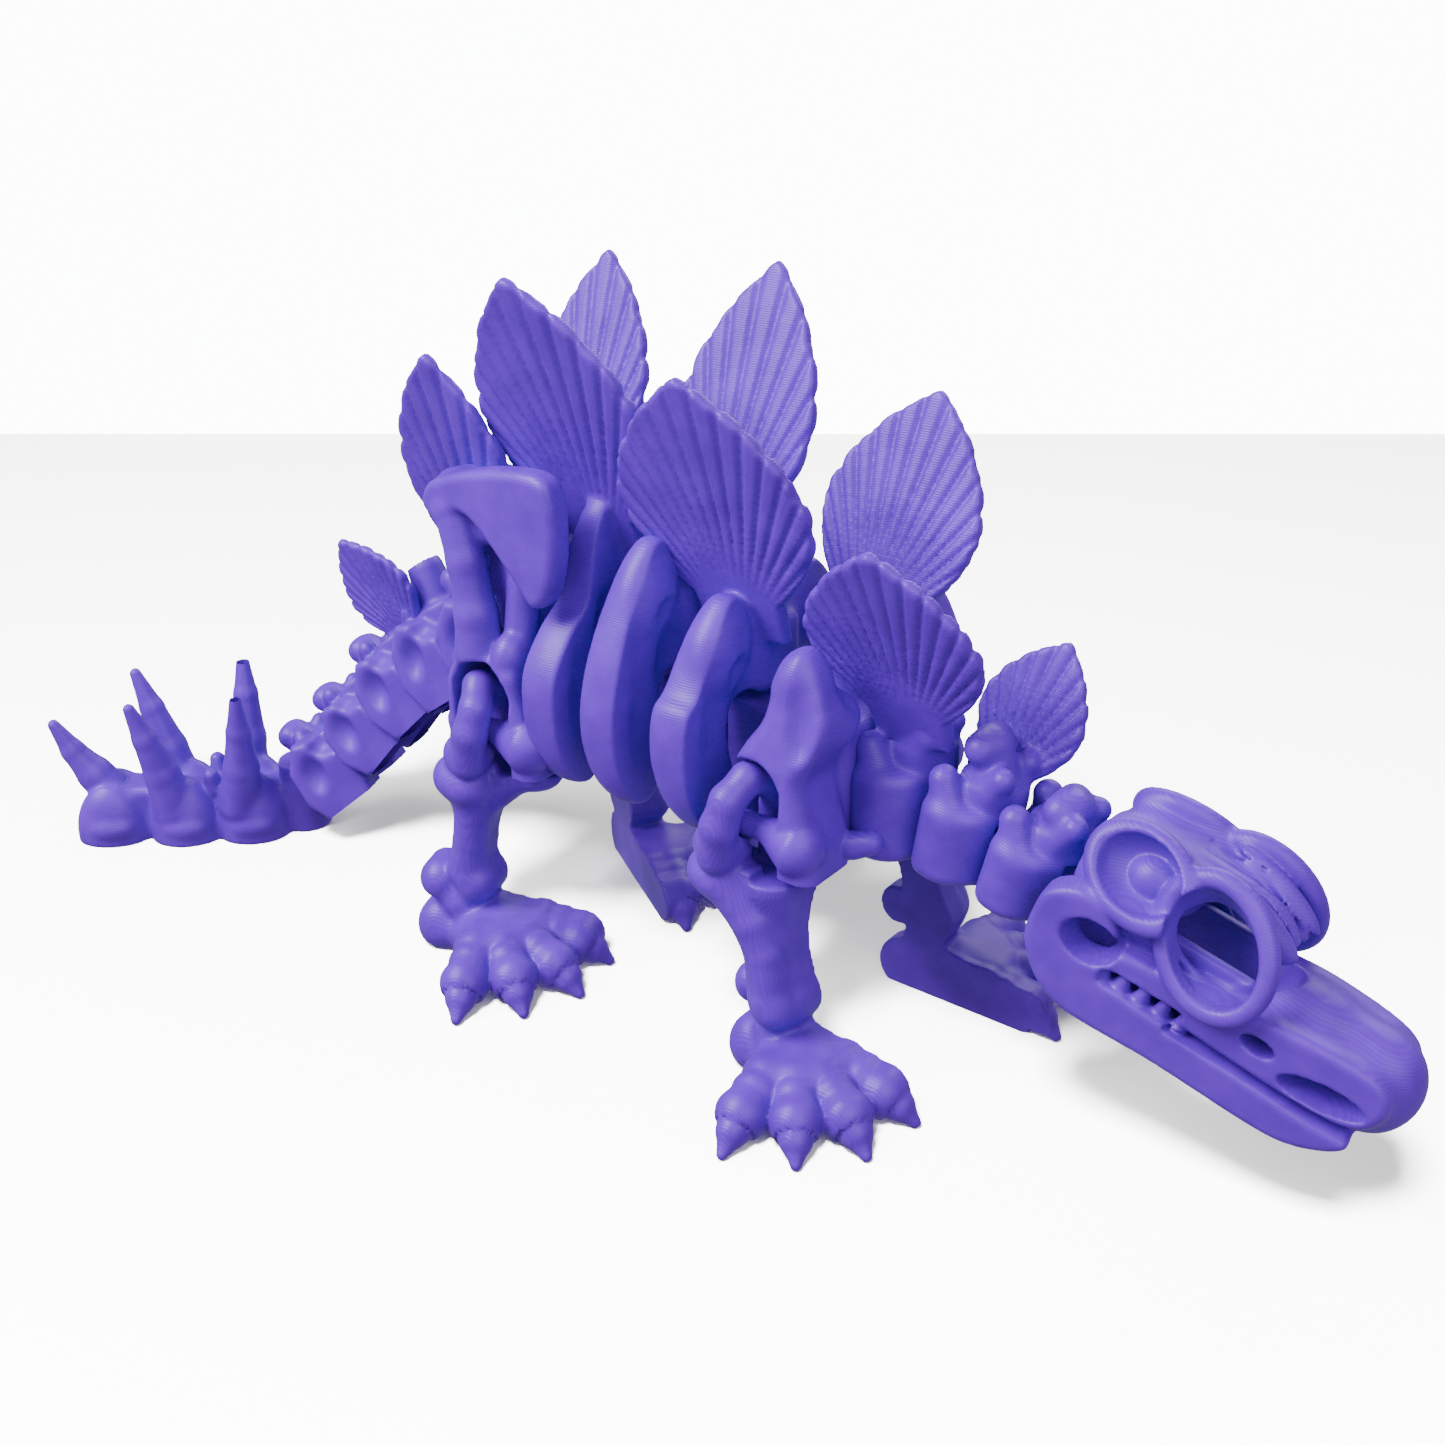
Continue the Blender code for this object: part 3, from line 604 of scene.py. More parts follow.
def skull():
    pitch = math.radians(15)
    forward, up = (math.cos(pitch), 0, -math.sin(pitch)), (math.sin(pitch), 0, math.cos(pitch))
    clay = skull_mass(turned(forward, up, np.array([69.4, 0, 51.6]) + ORIGIN))
    # The braincase is hollow, and the jaw's two halves have a gap between them.
    clay.carve(ball((-4, 0, -5), (17, 8.6, 8.0)), 1.0)
    clay.carve(box((-36, -5.6, -32), (8, 5.6, -9), 3.0), 1.5)
    clay.carve(box((2, -3.4, -34), (22, 3.4, -12.5), 2.0), 1.5)
    clay.add(ball((-14, 0, -1.5), (8.5, 7.4, 6.6)), 1.0)
    for side in (-1, 1):
        temple(clay, side)
        eye(clay, side)
        face_openings(clay, side)
        teeth(clay, side)
        brow_grooves(clay, side)
    # A thin wall behind the teeth closes each side.
    for side in (-1, 1):
        clay.add(box((-23.5, side * 4.6, -19), (8, side * 7.0, -6), 0.8), 0.6)
    clay.carve(box((-30, -8.6, -14), (-24.6, 8.6, 20), 1.0), 0.6)
    return joined(clay, None, "neck_1", 5.0)


# ---------------------------------------------------------------- neck
def neck(link, behind, wide, knob, plate=None):
    """A neck bone: a rounded barrel with two fingers at each side, and a knob on top of it."""
    _, low, high = DRUMS[link]
    clay = Clay(POSTS[link], (-12, -16, low - 2), (14, 16, high + 12))
    clay.add(link_drum(link))
    clay.add(bone((0.5, 0, high - 3), knob, 4.6, 3.4), 2.5)
    clay.add(bone((knob[0] - 1, -2.4, knob[2]), (knob[0] - 1, 2.4, knob[2]), 3.0, 3.0), 1.2)
    rear_half = [(-8.4, 0), (-8.6, wide - 4), (-7.0, wide - 0.8), (-3.0, wide)]
    half = [*rear_half, (0.6, wide - 1.4), (3.2, wide - 4.4), (4.8, 2.4)]
    barrel = [*half, *((x, -y) for x, y in reversed(half[1:]))]
    clay.add(slab(barrel, "xy", low, high - 3.4, 2.4), 0.8)
    for side in (-1, 1):
        root, tip = (-3.4, side * (wide - 4.2), high - 6.5), (-6.2, side * (wide - 4.6), high - 0.5)
        clay.add(bone(root, tip, 3.6, 2.6), 1.6)
        clay.add(bone((-0.5, side * 3.0, high - 3), (3.2, side * 4.2, high + 2.6), 3.2, 2.2), 1.4)
    if plate is not None:
        clay = grown(clay, plate)
        clay.add(plate, 1.2)
    return joined(clay, link, behind, 0.9)


def grown(clay, shape, margin=2.0):
    """The same clay on a grid that also holds the shape."""
    corners = np.array(np.meshgrid(*zip(shape.low, shape.high))).reshape(3, -1)
    place = clay.place if shape.place is None else shape.place
    spots = (np.linalg.inv(clay.place) @ place @ np.vstack([corners, np.ones(8)]))[:3]
    low = np.minimum([axis[0] for axis in clay.axes], spots.min(axis=1) - margin)
    high = np.maximum([axis[-1] for axis in clay.axes], spots.max(axis=1) + margin)
    more = [max(0, math.ceil((axis[0] - a) / clay.step)) for axis, a in zip(clay.axes, low)]
    start = [axis[0] - n * clay.step for axis, n in zip(clay.axes, more)]
    result = Clay(clay.place, start, high, clay.step)
    spot = tuple(slice(n, n + len(axis)) for n, axis in zip(more, clay.axes))
    if any(s.stop > n for s, n in zip(spot, result.value.shape)):
        high = [a + clay.step * (s.stop + 1) for a, s in zip(start, spot)]
        result = Clay(clay.place, start, np.maximum(high, [axis[-1] for axis in result.axes]), clay.step)
    result.value[spot] = clay.value
    return result


# ---------------------------------------------------------------- girdles
def bars(clay, low, high):
    """The bars that the legs hang on, from low to high along the toy."""
    for side in (-1, 1):
        clay.add(bone((low, side * BAR_Y, BAR_Z), (high, side * BAR_Y, BAR_Z), 2.2).at(HERE), 1.0)


def sockets(clay, low, high):
    """The hollows that the legs' loops swing in, arched at the top."""
    middle = (low + high) / 2
    for side in (-1, 1):
        clay.carve(box((low, side * 10.2, 38), (high, side * 40, 61), 1.0).at(HERE), 0.8)
        clay.carve(drum((middle, side * 25.2, 59.2), (high - low) / 2, 15, 0.6, (90, 0, 0)).at(HERE), 0.8)


BLADE = [
    (-0.8, 84.4), (-5.2, 79), (-5.7, 75), (-6.8, 71), (-9.6, 66.6), (-12, 62), (-14, 57), (-15.2, 51),
    (-15.4, 36), (5.6, 36), (5.2, 46.5), (5.0, 51.5), (3.2, 57), (2.5, 62), (4.4, 67), (5.6, 72), (4.8, 77),
    (2.4, 82),
]


def shoulder_girdle():
    link = "shoulder_girdle"
    clay = Clay(POSTS[link], (-18, -30, -12), (14, 30, 36))
    clay.add(link_drum(link))
    clay.add(box((-14, -12, BELLY - 3), (3.5, 12, 68), 2.0).at(HERE), 1.0)

    def narrowed(x, y, z):
        """The blade is thinner towards its top."""
        return 0.17 * np.clip(z - 64, 0, 30)

    for side in (-1, 1):
        clay.add(slab(BLADE, "xz", side * 11.8, side * 25.6, 3.0, dish=narrowed).at(HERE), 2.0)
        clay.add(ball((-1.2, side * 19.0, 78.4), (3.8, 4.6, 5.6)).at(HERE), 1.6)
        clay.add(ball((2.6, side * 16.5, 71.6), (4.4, 7.0, 5.2)).at(HERE), 2.0)
        clay.carve(ball((2.2, side * 25.4, 74), (3.0, 3.0, 7.4)).at(HERE), 1.4)
        clay.carve(ball((6.2, side * 12.5, 79), (3.5, 4.5, 6)).at(HERE), 2.0)
        clay.add(bone((6.0, side * 13, 47.6), (9.0, side * 12, 48.6), 2.6, 2.2).at(HERE), 1.0)
    clay.add(bone((-5, 0, 64), (-5, 0, 82), 7.5, 4.4).at(HERE), 3.0)
    plate = leaf(31.5, 38.5, -6, 1, (-4.4, 6.5, 83))
    clay = grown(clay, plate)
    clay.add(plate, 1.5)
    sockets(clay, -12.4, -1.3)
    above(clay, BELLY)
    for side in (-1, 1):
        clay.carve(box((-30, side * 21.4, 30), (-8, side * 40, 62), 1.0).at(HERE), 1.0)
    joined(clay, link, "front_ribs")
    bars(clay, -14.0, 0.5)
    for side in (-1, 1):
        clay.add(bone((-5.2, side * BAR_Y, BAR_Z), (1.0, side * 22.8, 50.0), 2.2, 5.2).at(HERE), 0.6)
        clay.carve(box((-8, side * 10.4, 38), (-1.3, side * 20.2, 58), 0.6).at(HERE), 0.4)
    return clay


HIP_BLOCK = [
    (-79, 36), (-79.4, 52), (-78.6, 62), (-73, 66.5), (-63.0, 66.0), (-60.6, 60), (-58.6, 52), (-58.2, 36),
]
HIP_SHIELD = [
    (-82.8, 93.6), (-81, 98.2), (-73.5, 101.4), (-63, 103.8), (-54, 104.2), (-50.8, 100.6), (-50.4, 90),
    (-52.6, 82), (-56.5, 79.4), (-61.5, 84.4), (-69, 91.8), (-74, 93.8), (-78.5, 91.2),
]


def hip_girdle():
    link = "hip_girdle"
    clay = Clay(POSTS[link], (-28, -30, -12), (14, 30, 54))
    clay.add(link_drum(link))
    clay.add(box((-78, -12, BELLY - 3), (-61.8, 12, 86), 2.0).at(HERE), 1.0)
    for side in (-1, 1):
        clay.add(slab(HIP_BLOCK, "xz", side * 11.0, side * 25.6, 2.6).at(HERE), 1.5)
        clay.add(slab(HIP_SHIELD, "xz", side * 19.0, side * 24.6, 1.8).at(HERE))
        clay.add(box((-84, side * 5, 86), (-64, side * 21, 99), 3.5, (side * 6, 0, 0)).at(HERE), 3.0)
        # The thigh bone comes down from under the shield to two knobs at the knee.
        thigh = [(-77.2, 21.0, 93), (-74.4, 21.8, 84), (-72.6, 22.0, 74), (-72.4, 21.6, 66.4)]
        for stretch in limb([(x, side * y, z) for x, y, z in thigh], (4.0, 3.6, 3.9, 4.9)):
            clay.add(stretch.at(HERE), 1.2)
        clay.add(ball((-65.0, side * 20.6, 66.6), (3.6, 4.6, 5.2)).at(HERE), 0.8)
        clay.add(bone((-66, side * 15, 86), (-65, side * 18.4, 69), 3.0, 3.2).at(HERE), 1.0)
        clay.add(box((-77, side * 8, 62), (-64.4, side * 17.4, 90), 2.0).at(HERE), 1.5)
    clay.add(box((-80, -9.5, 76), (-64.5, 9.5, 96), 3.0).at(HERE), 2.0)
    plate = leaf(26, 43, 5.5, 1, (-70.6, 6, 94))
    clay = grown(clay, plate)
    clay.add(plate, 1.5)
    sockets(clay, -76.3, -62.7)
    above(clay, BELLY)
    joined(clay, link, "tail_1", 4.0)
    bars(clay, -78.0, -61.0)
    for side in (-1, 1):
        clay.add(bone((-68.5, side * BAR_Y, BAR_Z), (-60.6, side * 22.4, 50.6), 2.2, 5.6).at(HERE), 0.6)
        clay.carve(box((-72, side * 10.4, 38), (-62.7, side * 20.2, 58), 0.6).at(HERE), 0.4)
    return clay


# ---------------------------------------------------------------- ribs
def ribs(link, behind, centre, top, plate, narrow=False):
    """A pair of crescent ribs that meet over the spine, with a rounded, dimpled head to each."""
    clay = Clay(POSTS[link], (centre - POSTS[link][0, 3] + ORIGIN[0] - 9, -30, -12), (9, 30, top - 44))
    clay.add(link_drum(link))
    shoulder = [(12.5, top), (17.5, top - 5.4), (22, top - 14.5)]
    if narrow:
        shoulder = [(9.5, top - 0.6), (13, top - 6), (15.6, top - 17), (20.5, 75)]
    outer = [(25.4, 68), (26.2, 60), (24.6, 52), (21, 46), (17, 44.2)]
    inner = [(13.6, 46.6), (12.2, 52), (12.4, 59), (11.4, 64), (7, 67.5)]
    half = [(5.4, top - 3), *shoulder, *outer, *inner]
    path = smooth_path([*half, *((-y, z) for y, z in reversed(half))])
    front, edge = centre + 3.9, 0.5

    def distance(x, y, z):
        """Thick at its middle height and thin at its ends, its flat front face hollowed between its rims."""
        level = np.clip(1 - ((z - 64) / (top - 62)) ** 2, 0, 1)
        half_thick = 2.0 + 2.0 * level
        middle = front - half_thick
        across = (x - middle) / half_thick
        flat = outline_distance(path, y, z) + edge - 0.6 * np.clip(1 - across * across, 0, 1)
        ring = np.sqrt((abs(y) - 18.5) ** 2 / 14 + (z - 61) ** 2 / 150)
        hollow = 1.3 * np.clip(across, 0, 1) * np.clip(1 - ring, 0, 1)
        return rounded(flat, abs(x - middle) - half_thick + edge + hollow, edge)

    low, high = (front - 8.6, -28.0, 40.0), (front + 0.2, 28.0, top + 1.0)
    clay.add(Shape(distance, low, high).at(HERE))
    clay.add(box((centre - 3.6, -5, BELLY), (centre + 8, 5, 64), 1.0).at(HERE), 1.0)
    reach = 3.9 if narrow else 6.0
    clay.add(box((centre - reach, -6, 66), (centre + 6, 6, top - 6), 2.5).at(HERE), 1.5)
    for side in (-1, 1):
        if not narrow:
            head = ball((centre + 1.6, side * 13.4, top - 9), (4.4, 6.4, 8.4), (side * 24, 0, 0))
            clay.add(head.at(HERE), 1.6)
            clay.carve(ball((centre + 6.6, side * 12.4, top - 13), (2.6, 3.0, 3.4)).at(HERE), 1.2)
        clay.carve(ball((centre + 5, side * 10, top - 24), (3.0, 4.0, 8.0)).at(HERE), 1.6)
    clay = grown(clay, plate)
    clay.add(plate, 1.5)
    above(clay, BELLY)
    return joined(clay, link, behind)


# ---------------------------------------------------------------- tail
TAIL_LOBE = [
    (-10.6, 3.6), (-12.0, -4), (-9.4, -10.6), (-4.6, -13.0), (2.6, -12.2), (4.0, -6.4), (3.0, 1.6),
    (-0.6, 6.6), (-5.6, 8.2),
]


def tail(link, behind, plate=None):
    """A tail bone: a drum, a lobe with a hollow flank at each side, and a knob on the spine's line."""
    radius, low, high = DRUMS[link]
    rear = -8.1
    clay = Clay(POSTS[link], (-20, -15, low - 2.5), (10, 15, high + 9))
    clay.add(link_drum(link))
    clay.add(box((rear - 3.0, 0.6 - radius, low + 0.4), (2, radius - 0.6, high - 0.6), 1.5), 1.0)
    if link == "tail_2":
        clay.add(bone((-1, 0, high - 2), (1.0, 0, high + 7.6), 5.0, 3.8), 1.5)
    stretched = 1.06 if link == "tail_5" else high / 8.2
    lobe = [(x, z * stretched) for x, z in TAIL_LOBE]
    for side in (-1, 1):
        flare = np.eye(4)
        flare[:3, :3] = spin((0, 0, -side * 7))
        clay.add(slab(lobe, "xz", side * 3.0, side * 10.6, 1.5, smooth=False).at(POSTS[link] @ flare), 1.0)
        clay.carve(ball((-3.4, side * 12.6, 0.6), (2.8, 3.4, 4.6), (0, 20, 0)), 1.4)
        clay.carve(ball((2.6, side * 11.4, 5.4), (3.6, 4.4, 3.0)), 1.5)
        clay.add(bone((-7.6, side * 2.6, high - 1.0), (-4.6, side * 4.4, high + 1.6), 2.8, 2.0), 1.2)
    clay.add(bone((rear, 0, high - 4), (rear - 0.8, 0, high + 2.6), 4.2, 3.3), 1.8)
    clay.add(bone((rear - 1.2, -1.6, high + 3.2), (rear - 1.2, 1.6, high + 3.2), 2.7, 2.7), 1.0)
    if plate is not None:
        clay = grown(clay, plate)
        clay.add(plate, 1.2)
    above(clay, 0.25)
    return joined(clay, link, behind, 3.6)


def spike(clay, spots, radii):
    for stretch in limb(spots, radii):
        clay.add(stretch, 0.8)


def tail_club():
    """Three pairs of lobes that carry two pairs of upright spikes and one that leans back at the end."""
    link = "tail_club"
    _, low, _ = DRUMS[link]
    clay = Clay(POSTS[link], (-64, -17, low - 2), (9, 17, 26))
    clay.add(link_drum(link))
    clay.add(box((-40, -5, low - 1), (0.7, 5, low + 12.5), 2.0), 1.0)
    for x, wide, tall in ((-11.5, 10.2, 14.5), (-26.5, 10.2, 13.5), (-43, 9.0, 12.0)):
        for side in (-1, 1):
            clay.add(ball((x, side * wide * 0.44, low + 1.5), (8.0, wide * 0.58, tall)), 1.5)
            clay.add(ball((x + 0.5, side * wide * 0.8, low + 4.0), (4.6, 2.6, 2.2)), 1.5)
    front_pair = ((-13.8, 5.6, low + 8.5), (-10.8, 10.6, low + 36.2))
    rear_pair = ((-28.5, 5.2, low + 8.0), (-34.4, 8.0, low + 33.8))
    for root, tip in (front_pair, rear_pair):
        for side in (-1, 1):
            # The left spikes are a little taller and lean further back.
            longer = np.array((-0.9 - 0.9 * side, 0, 0.8 + 0.8 * side))
            start, end = np.array(root) * (1, side, 1), np.array(tip) * (1, side, 1) + longer
            run = end - start
            spots = [start, start + 0.35 * run + (0.6, 0, 0), start + 0.7 * run + (0.4, 0, 0), end]
            spike(clay, spots, (4.9, 3.9, 2.7, 1.3))
    last = [(-42, 0, low + 8), (-46.4, 0, low + 14.5), (-50.4, 0, low + 20.5), (-53.6, 0, low + 27.0)]
    spike(clay, last, (5.0, 3.9, 2.6, 1.3))
    for side in (-1, 1):
        clay.add(bone((-19.5, side * 3.4, low + 12), (-19.8, side * 4.2, low + 15), 2.2, 1.7), 1.0)
    above(clay, 0.0)
    return joined(clay, link)


# ---------------------------------------------------------------- legs
def flush(shape, side, outward):
    """The shape drawn out to the leg's flat inner face, starting from a distance outward of the bar."""
    level = side * outward

    def distance(x, y, z):
        return shape.distance(x, np.maximum(y, level) if side > 0 else np.minimum(y, level), z)

    low, high = shape.low.copy(), shape.high.copy()
    low[1], high[1] = min(low[1], side * -9.0), max(high[1], side * -9.0)
    return Shape(distance, low, high)


# The claws' tips, forward and outward of the ankle, and each toe joint's part of the way there and its drop.
CLAW_TIPS = ((2.9, 24.5), (14.5, 19.2), (22.7, 10.1), (24.6, -2.6))
TOE_JOINTS = ((0.0, 0.0), (0.34, -0.4), (0.50, -1.1), (0.70, -2.3))


def toes(clay, side, ankle, ground):
    """Four toes, each of three cuffed joints and a claw."""
    for forward, out in CLAW_TIPS:
        tip = np.array([ankle[0] + forward, side * (ankle[1] + out), ground + 1.2])
        root = np.array([ankle[0] + 0.10 * forward, side * (ankle[1] + 0.06 * out), ground + 7.4])
        spots = [root + (tip - root) * (part, part, 0) + (0, 0, drop) for part, drop in TOE_JOINTS]
        for index, (a, b, start, end) in enumerate(zip(spots, spots[1:], (3.6, 3.6, 3.7), (4.6, 4.5, 4.9))):
            joint = bone(a, b, start, end)
            clay.add(flush(joint, side, ankle[1] + out) if out < 0 else joint, 0.4 if index else 2.0)
        run = tip - spots[-1]
        clay.carve(ball(spots[-1] + run * 0.30, (3.6, 3.6, 3.6)), 0.3)
        claw = [spots[-1] + (0, 0, -0.5), spots[-1] + run * 0.5 + (0, 0, 0.5), tip]
        for stretch in limb(claw, (4.0, 3.0, 1.1)):
            clay.add(stretch, 0.3)


def foot(clay, side, ankle, heel, ground):
    toes(clay, side, ankle, ground)
    toe_root = (ankle[0] + 16, side * (ankle[1] - 2.2), ground + 3.4)
    sole = bone((heel[0], side * heel[1], ground + 4), toe_root, 4.6, 4.0)
    clay.add(flush(sole, side, heel[1]), 0.6)
    clay.add(flush(ball((ankle[0] + 1, side * ankle[1], ground + 5), (8.5, 7.0, 6.5)), side, ankle[1]), 2.0)
    clay.add(flush(ball((heel[0], side * heel[1], ground + 5), (5.0, 4.4, 5.5)), side, heel[1]), 1.6)


def hook(clay, side, whorl):
    """The arm that starts at the whorl, goes up and over the bar, and comes down again on the inside."""
    x, y, z = whorl
    clay.add(ball((x, side * y, z - BAR_Z), (5.0, 4.6, 4.6)), 1.0)
    outside = [(x + 0.8, 4.6, -5.2), (x + 2.0, 5.7, 1.0), (x + 3.2, 4.8, 6.0)]
    inside = [(0.0, 1.0, 9.0), (1.2, -3.4, 8.0), (1.6, -5.6, 3.6), (1.6, -5.8, -1.4)]
    spots = [(x, side * y, z) for x, y, z in (*outside, *inside)]
    for stretch in limb(spots, (3.6, 3.3, 3.1, 2.9, 2.8, 2.6, 2.5)):
        clay.add(stretch, 0.8)


def leg(side, joint, yaw, bones, knobs, ankle, heel, whorl, ahead=0.0):
    """The frame's origin is on the bar, with the leg's flat inner face towards the middle.

    The foot stands further ahead of the bar by the last distance, and what is above it by a share of that.
    """

    def set_ahead(x, y, z):
        return x + ahead * (1 - z / BAR_Z), y, z

    bones = [([set_ahead(*spot) for spot in points], radii, blend) for points, radii, blend in bones]
    knobs = [(set_ahead(*spot), radii, blend) for spot, radii, blend in knobs]
    ankle, heel = (ankle[0] + ahead, ankle[1]), (heel[0] + ahead, heel[1])
    place = moved(0, 0, 0, side * yaw)
    place[:3, 3] = np.array(JOINTS[joint]["pos_m"]) * 1000
    along_bar = HERE.copy()
    along_bar[:3, 3] = place[:3, 3]
    back = -7.2
    ground = -BAR_Z
    right, left = (-10, 31) if side > 0 else (-31, 10)
    clay = Clay(place, (-28, right, ground - 1.5), (40, left, 13))
    for points, radii, blend in bones:
        for (a, b), pair in zip(zip(points, points[1:]), zip(radii, radii[1:])):
            ends = [(x, side * y, z - BAR_Z) for x, y, z in (a, b)]
            clay.add(flush(bone(*ends, *pair), side, (a[1] + b[1]) / 2), blend)
    for (x, y, z), radii, blend in knobs:
        clay.add(flush(ball((x, side * y, z - BAR_Z), radii), side, y), blend)
    foot(clay, side, ankle, heel, ground)
    # The shelf clears the belly and falls a little to the front, and the hook above it goes over the bar.
    clay.carve(box((3.0, -40, -8.8), (60, 40, 30), 0.4), 0.6)
    clay.carve(box((3.0, -40, -9.6), (40, 40, 30), 0.4, (0, 8, 0)), 0.6)
    clay.carve(box((-40, side * -40, -8.8), (60, side * -0.2, 30), 0.4), 0.6)
    hook(clay, side, whorl)
    clay.add(box((-1.6, side * back, -16), (4.4, side * (back + 3.2), 3.0), 1.0), 1.2)
    clay.carve(drum((0, 0, 0), 2.7, 30, 0.2, (0, 90, 0)).at(along_bar), 0.4)

    def inner_face(x, y, z):
        """The flat inner face stands a little further out at the foot than at the bar."""
        return side * y - (back - 1.5 * np.clip(z / BAR_Z, -1, 0)) + 0 * x

    clay.carve(Shape(inner_face, (-60, -60, -70), (60, 60, 30)))
    clay.carve(box((-60, -60, ground - 30), (60, 60, ground), 0.2))
    return clay


def front_leg(side, joint, ahead=0.0):
    bones = [
        ([(-3.0, 0.6, 40.6), (2.0, 1.2, 34), (4.4, 1.2, 28), (5.6, 0.8, 20)], (6.0, 4.4, 3.8, 4.4), 0.6),
        ([(3.8, -1.8, 40.6), (4.0, -2.0, 33), (5.2, -2.0, 26), (7.2, -1.8, 19)], (6.0, 4.4, 3.4, 3.8), 0.4),
    ]
    knobs = [
        ((-5.6, 1.0, 40.8), (6.0, 5.6, 5.0), 1.4),
        ((3.6, -1.6, 42.6), (5.4, 6.0, 6.0), 1.6),
        ((-0.4, -2.2, 18.0), (3.5, 3.6, 4.0), 1.0),
        ((6.4, 0.6, 17.6), (4.8, 4.8, 4.6), 1.2),
        ((8.2, -2.0, 17.4), (3.6, 4.2, 4.4), 0.8),
        ((5.4, -2.0, 11.0), (4.6, 4.4, 5.0), 2.0),
    ]
    return leg(side, joint, 0.0, bones, knobs, (8.5, -1.6), (0.0, -2.6), (-4.4, 2.4, 47.2), ahead)


def hind_leg(side, joint, yaw, ahead=0.0):
    bones = [
        ([(-3.4, 0.4, 40), (-3.2, 0.2, 33), (-4.4, -0.2, 26), (-5.4, -0.6, 19)], (5.2, 3.8, 3.5, 4.2), 0.6),
        ([(3.6, -2.0, 41), (-2.4, -2.0, 34), (-4.6, -2.0, 26), (-5.0, -1.8, 18)], (5.0, 3.8, 3.2, 3.8), 0.4),
    ]
    knobs = [
        ((-5.4, 0.4, 40.4), (5.2, 5.4, 4.8), 1.0),
        ((-3.0, 1.4, 39.8), (5.4, 5.2, 4.8), 1.0),
        ((8.6, -2.4, 41.6), (6.0, 4.6, 3.6), 1.6),
        ((-11.8, -1.4, 15.6), (4.4, 4.4, 4.4), 1.2),
        ((-3.6, -0.6, 16.6), (4.4, 4.6, 4.6), 1.2),
        ((-7.0, -1.6, 11.4), (5.0, 4.6, 4.8), 2.0),
    ]
    return leg(side, joint, yaw, bones, knobs, (-1.5, 0.4), (-12.4, -1.6), (-2.4, 2.2, 46.4), ahead)


# ---------------------------------------------------------------- material
LAYER = 0.4  # the pitch of the visible terraces, mm
PURPLE_DEEP = (0.088, 0.008, 0.42, 1)
PURPLE_PALE = (0.125, 0.016, 0.56, 1)


def printed_plastic(name, layers_along):
    """Purple printed plastic: satin, with the fine terraces of its layers across one of its own axes."""
    material = bpy.data.materials.new(name)
    material.use_nodes = True
    nodes, links = material.node_tree.nodes, material.node_tree.links
    shader = nodes["Principled BSDF"]
    shader.inputs["Roughness"].default_value = 0.42
    shader.inputs["Specular IOR Level"].default_value = 0.3
    spot = nodes.new("ShaderNodeTexCoord")
    split = nodes.new("ShaderNodeSeparateXYZ")
    links.new(spot.outputs["Object"], split.inputs[0])
    wobble = nodes.new("ShaderNodeTexNoise")
    wobble.inputs["Scale"].default_value = 60.0
    wobble.inputs["Detail"].default_value = 2.0
    links.new(spot.outputs["Object"], wobble.inputs["Vector"])

    def maths(operation, a, b):
        node = nodes.new("ShaderNodeMath")
        node.operation = operation
        for socket, value in zip(node.inputs, (a, b)):
            if isinstance(value, float):
                socket.default_value = value
            else:
                links.new(value, socket)
        return node.outputs[0]

    height = maths("ADD", split.outputs[layers_along], maths("MULTIPLY", wobble.outputs["Fac"], 0.00022))
    phase = maths("MULTIPLY", height, 2 * math.pi / (LAYER * MM))
    terraces = maths("MULTIPLY", maths("SINE", phase, 0.0), 0.5)
    mottle = nodes.new("ShaderNodeTexNoise")
    mottle.inputs["Scale"].default_value = 140.0
    mottle.inputs["Detail"].default_value = 4.0
    links.new(spot.outputs["Object"], mottle.inputs["Vector"])
    shade = nodes.new("ShaderNodeValToRGB")
    shade.color_ramp.elements[0].position = 0.3
    shade.color_ramp.elements[0].color = PURPLE_DEEP
    shade.color_ramp.elements[1].position = 0.75
    shade.color_ramp.elements[1].color = PURPLE_PALE
    links.new(maths("ADD", mottle.outputs["Fac"], maths("MULTIPLY", terraces, 0.16)), shade.inputs[0])
    links.new(shade.outputs["Color"], shader.inputs["Base Color"])
    bump = nodes.new("ShaderNodeBump")
    bump.inputs["Strength"].default_value = 0.35
    bump.inputs["Distance"].default_value = 0.00006
    links.new(maths("ADD", terraces, maths("MULTIPLY", mottle.outputs["Fac"], 0.5)), bump.inputs["Height"])
    links.new(bump.outputs["Normal"], shader.inputs["Normal"])
    return material


UPRIGHT = printed_plastic("plastic printed upright", "Z")
SIDEWAYS = printed_plastic("plastic printed on its side", "Y")


# ---------------------------------------------------------------- the toy
PLATES = {
    "neck_2": leaf(20, 24.5, -15, 1, (24.2, 5.0, 60.5), thick=2.8, ribs=9),
    "neck_3": leaf(34, 34, 2, -1, (11.6, -6.0, 72), lean=23),
    "front_ribs": leaf(41, 43, 4, -1, (-23.2, -6.5, 84.5), lean=19),
    "middle_ribs": leaf(30, 49, -0.5, 1, (-37.2, 6.0, 90)),
    "rear_ribs": leaf(39, 48, 8.5, -1, (-54.4, -6.5, 92), lean=19),
    "tail_1": leaf(30, 46.5, -2, -1, (-86.4, -4.5, 76), lean=18),
    "tail_3": leaf(24, 24, 34, -1, (-111.5, -3.5, 54.5), lean=16, thick=2.6, ribs=9),
}


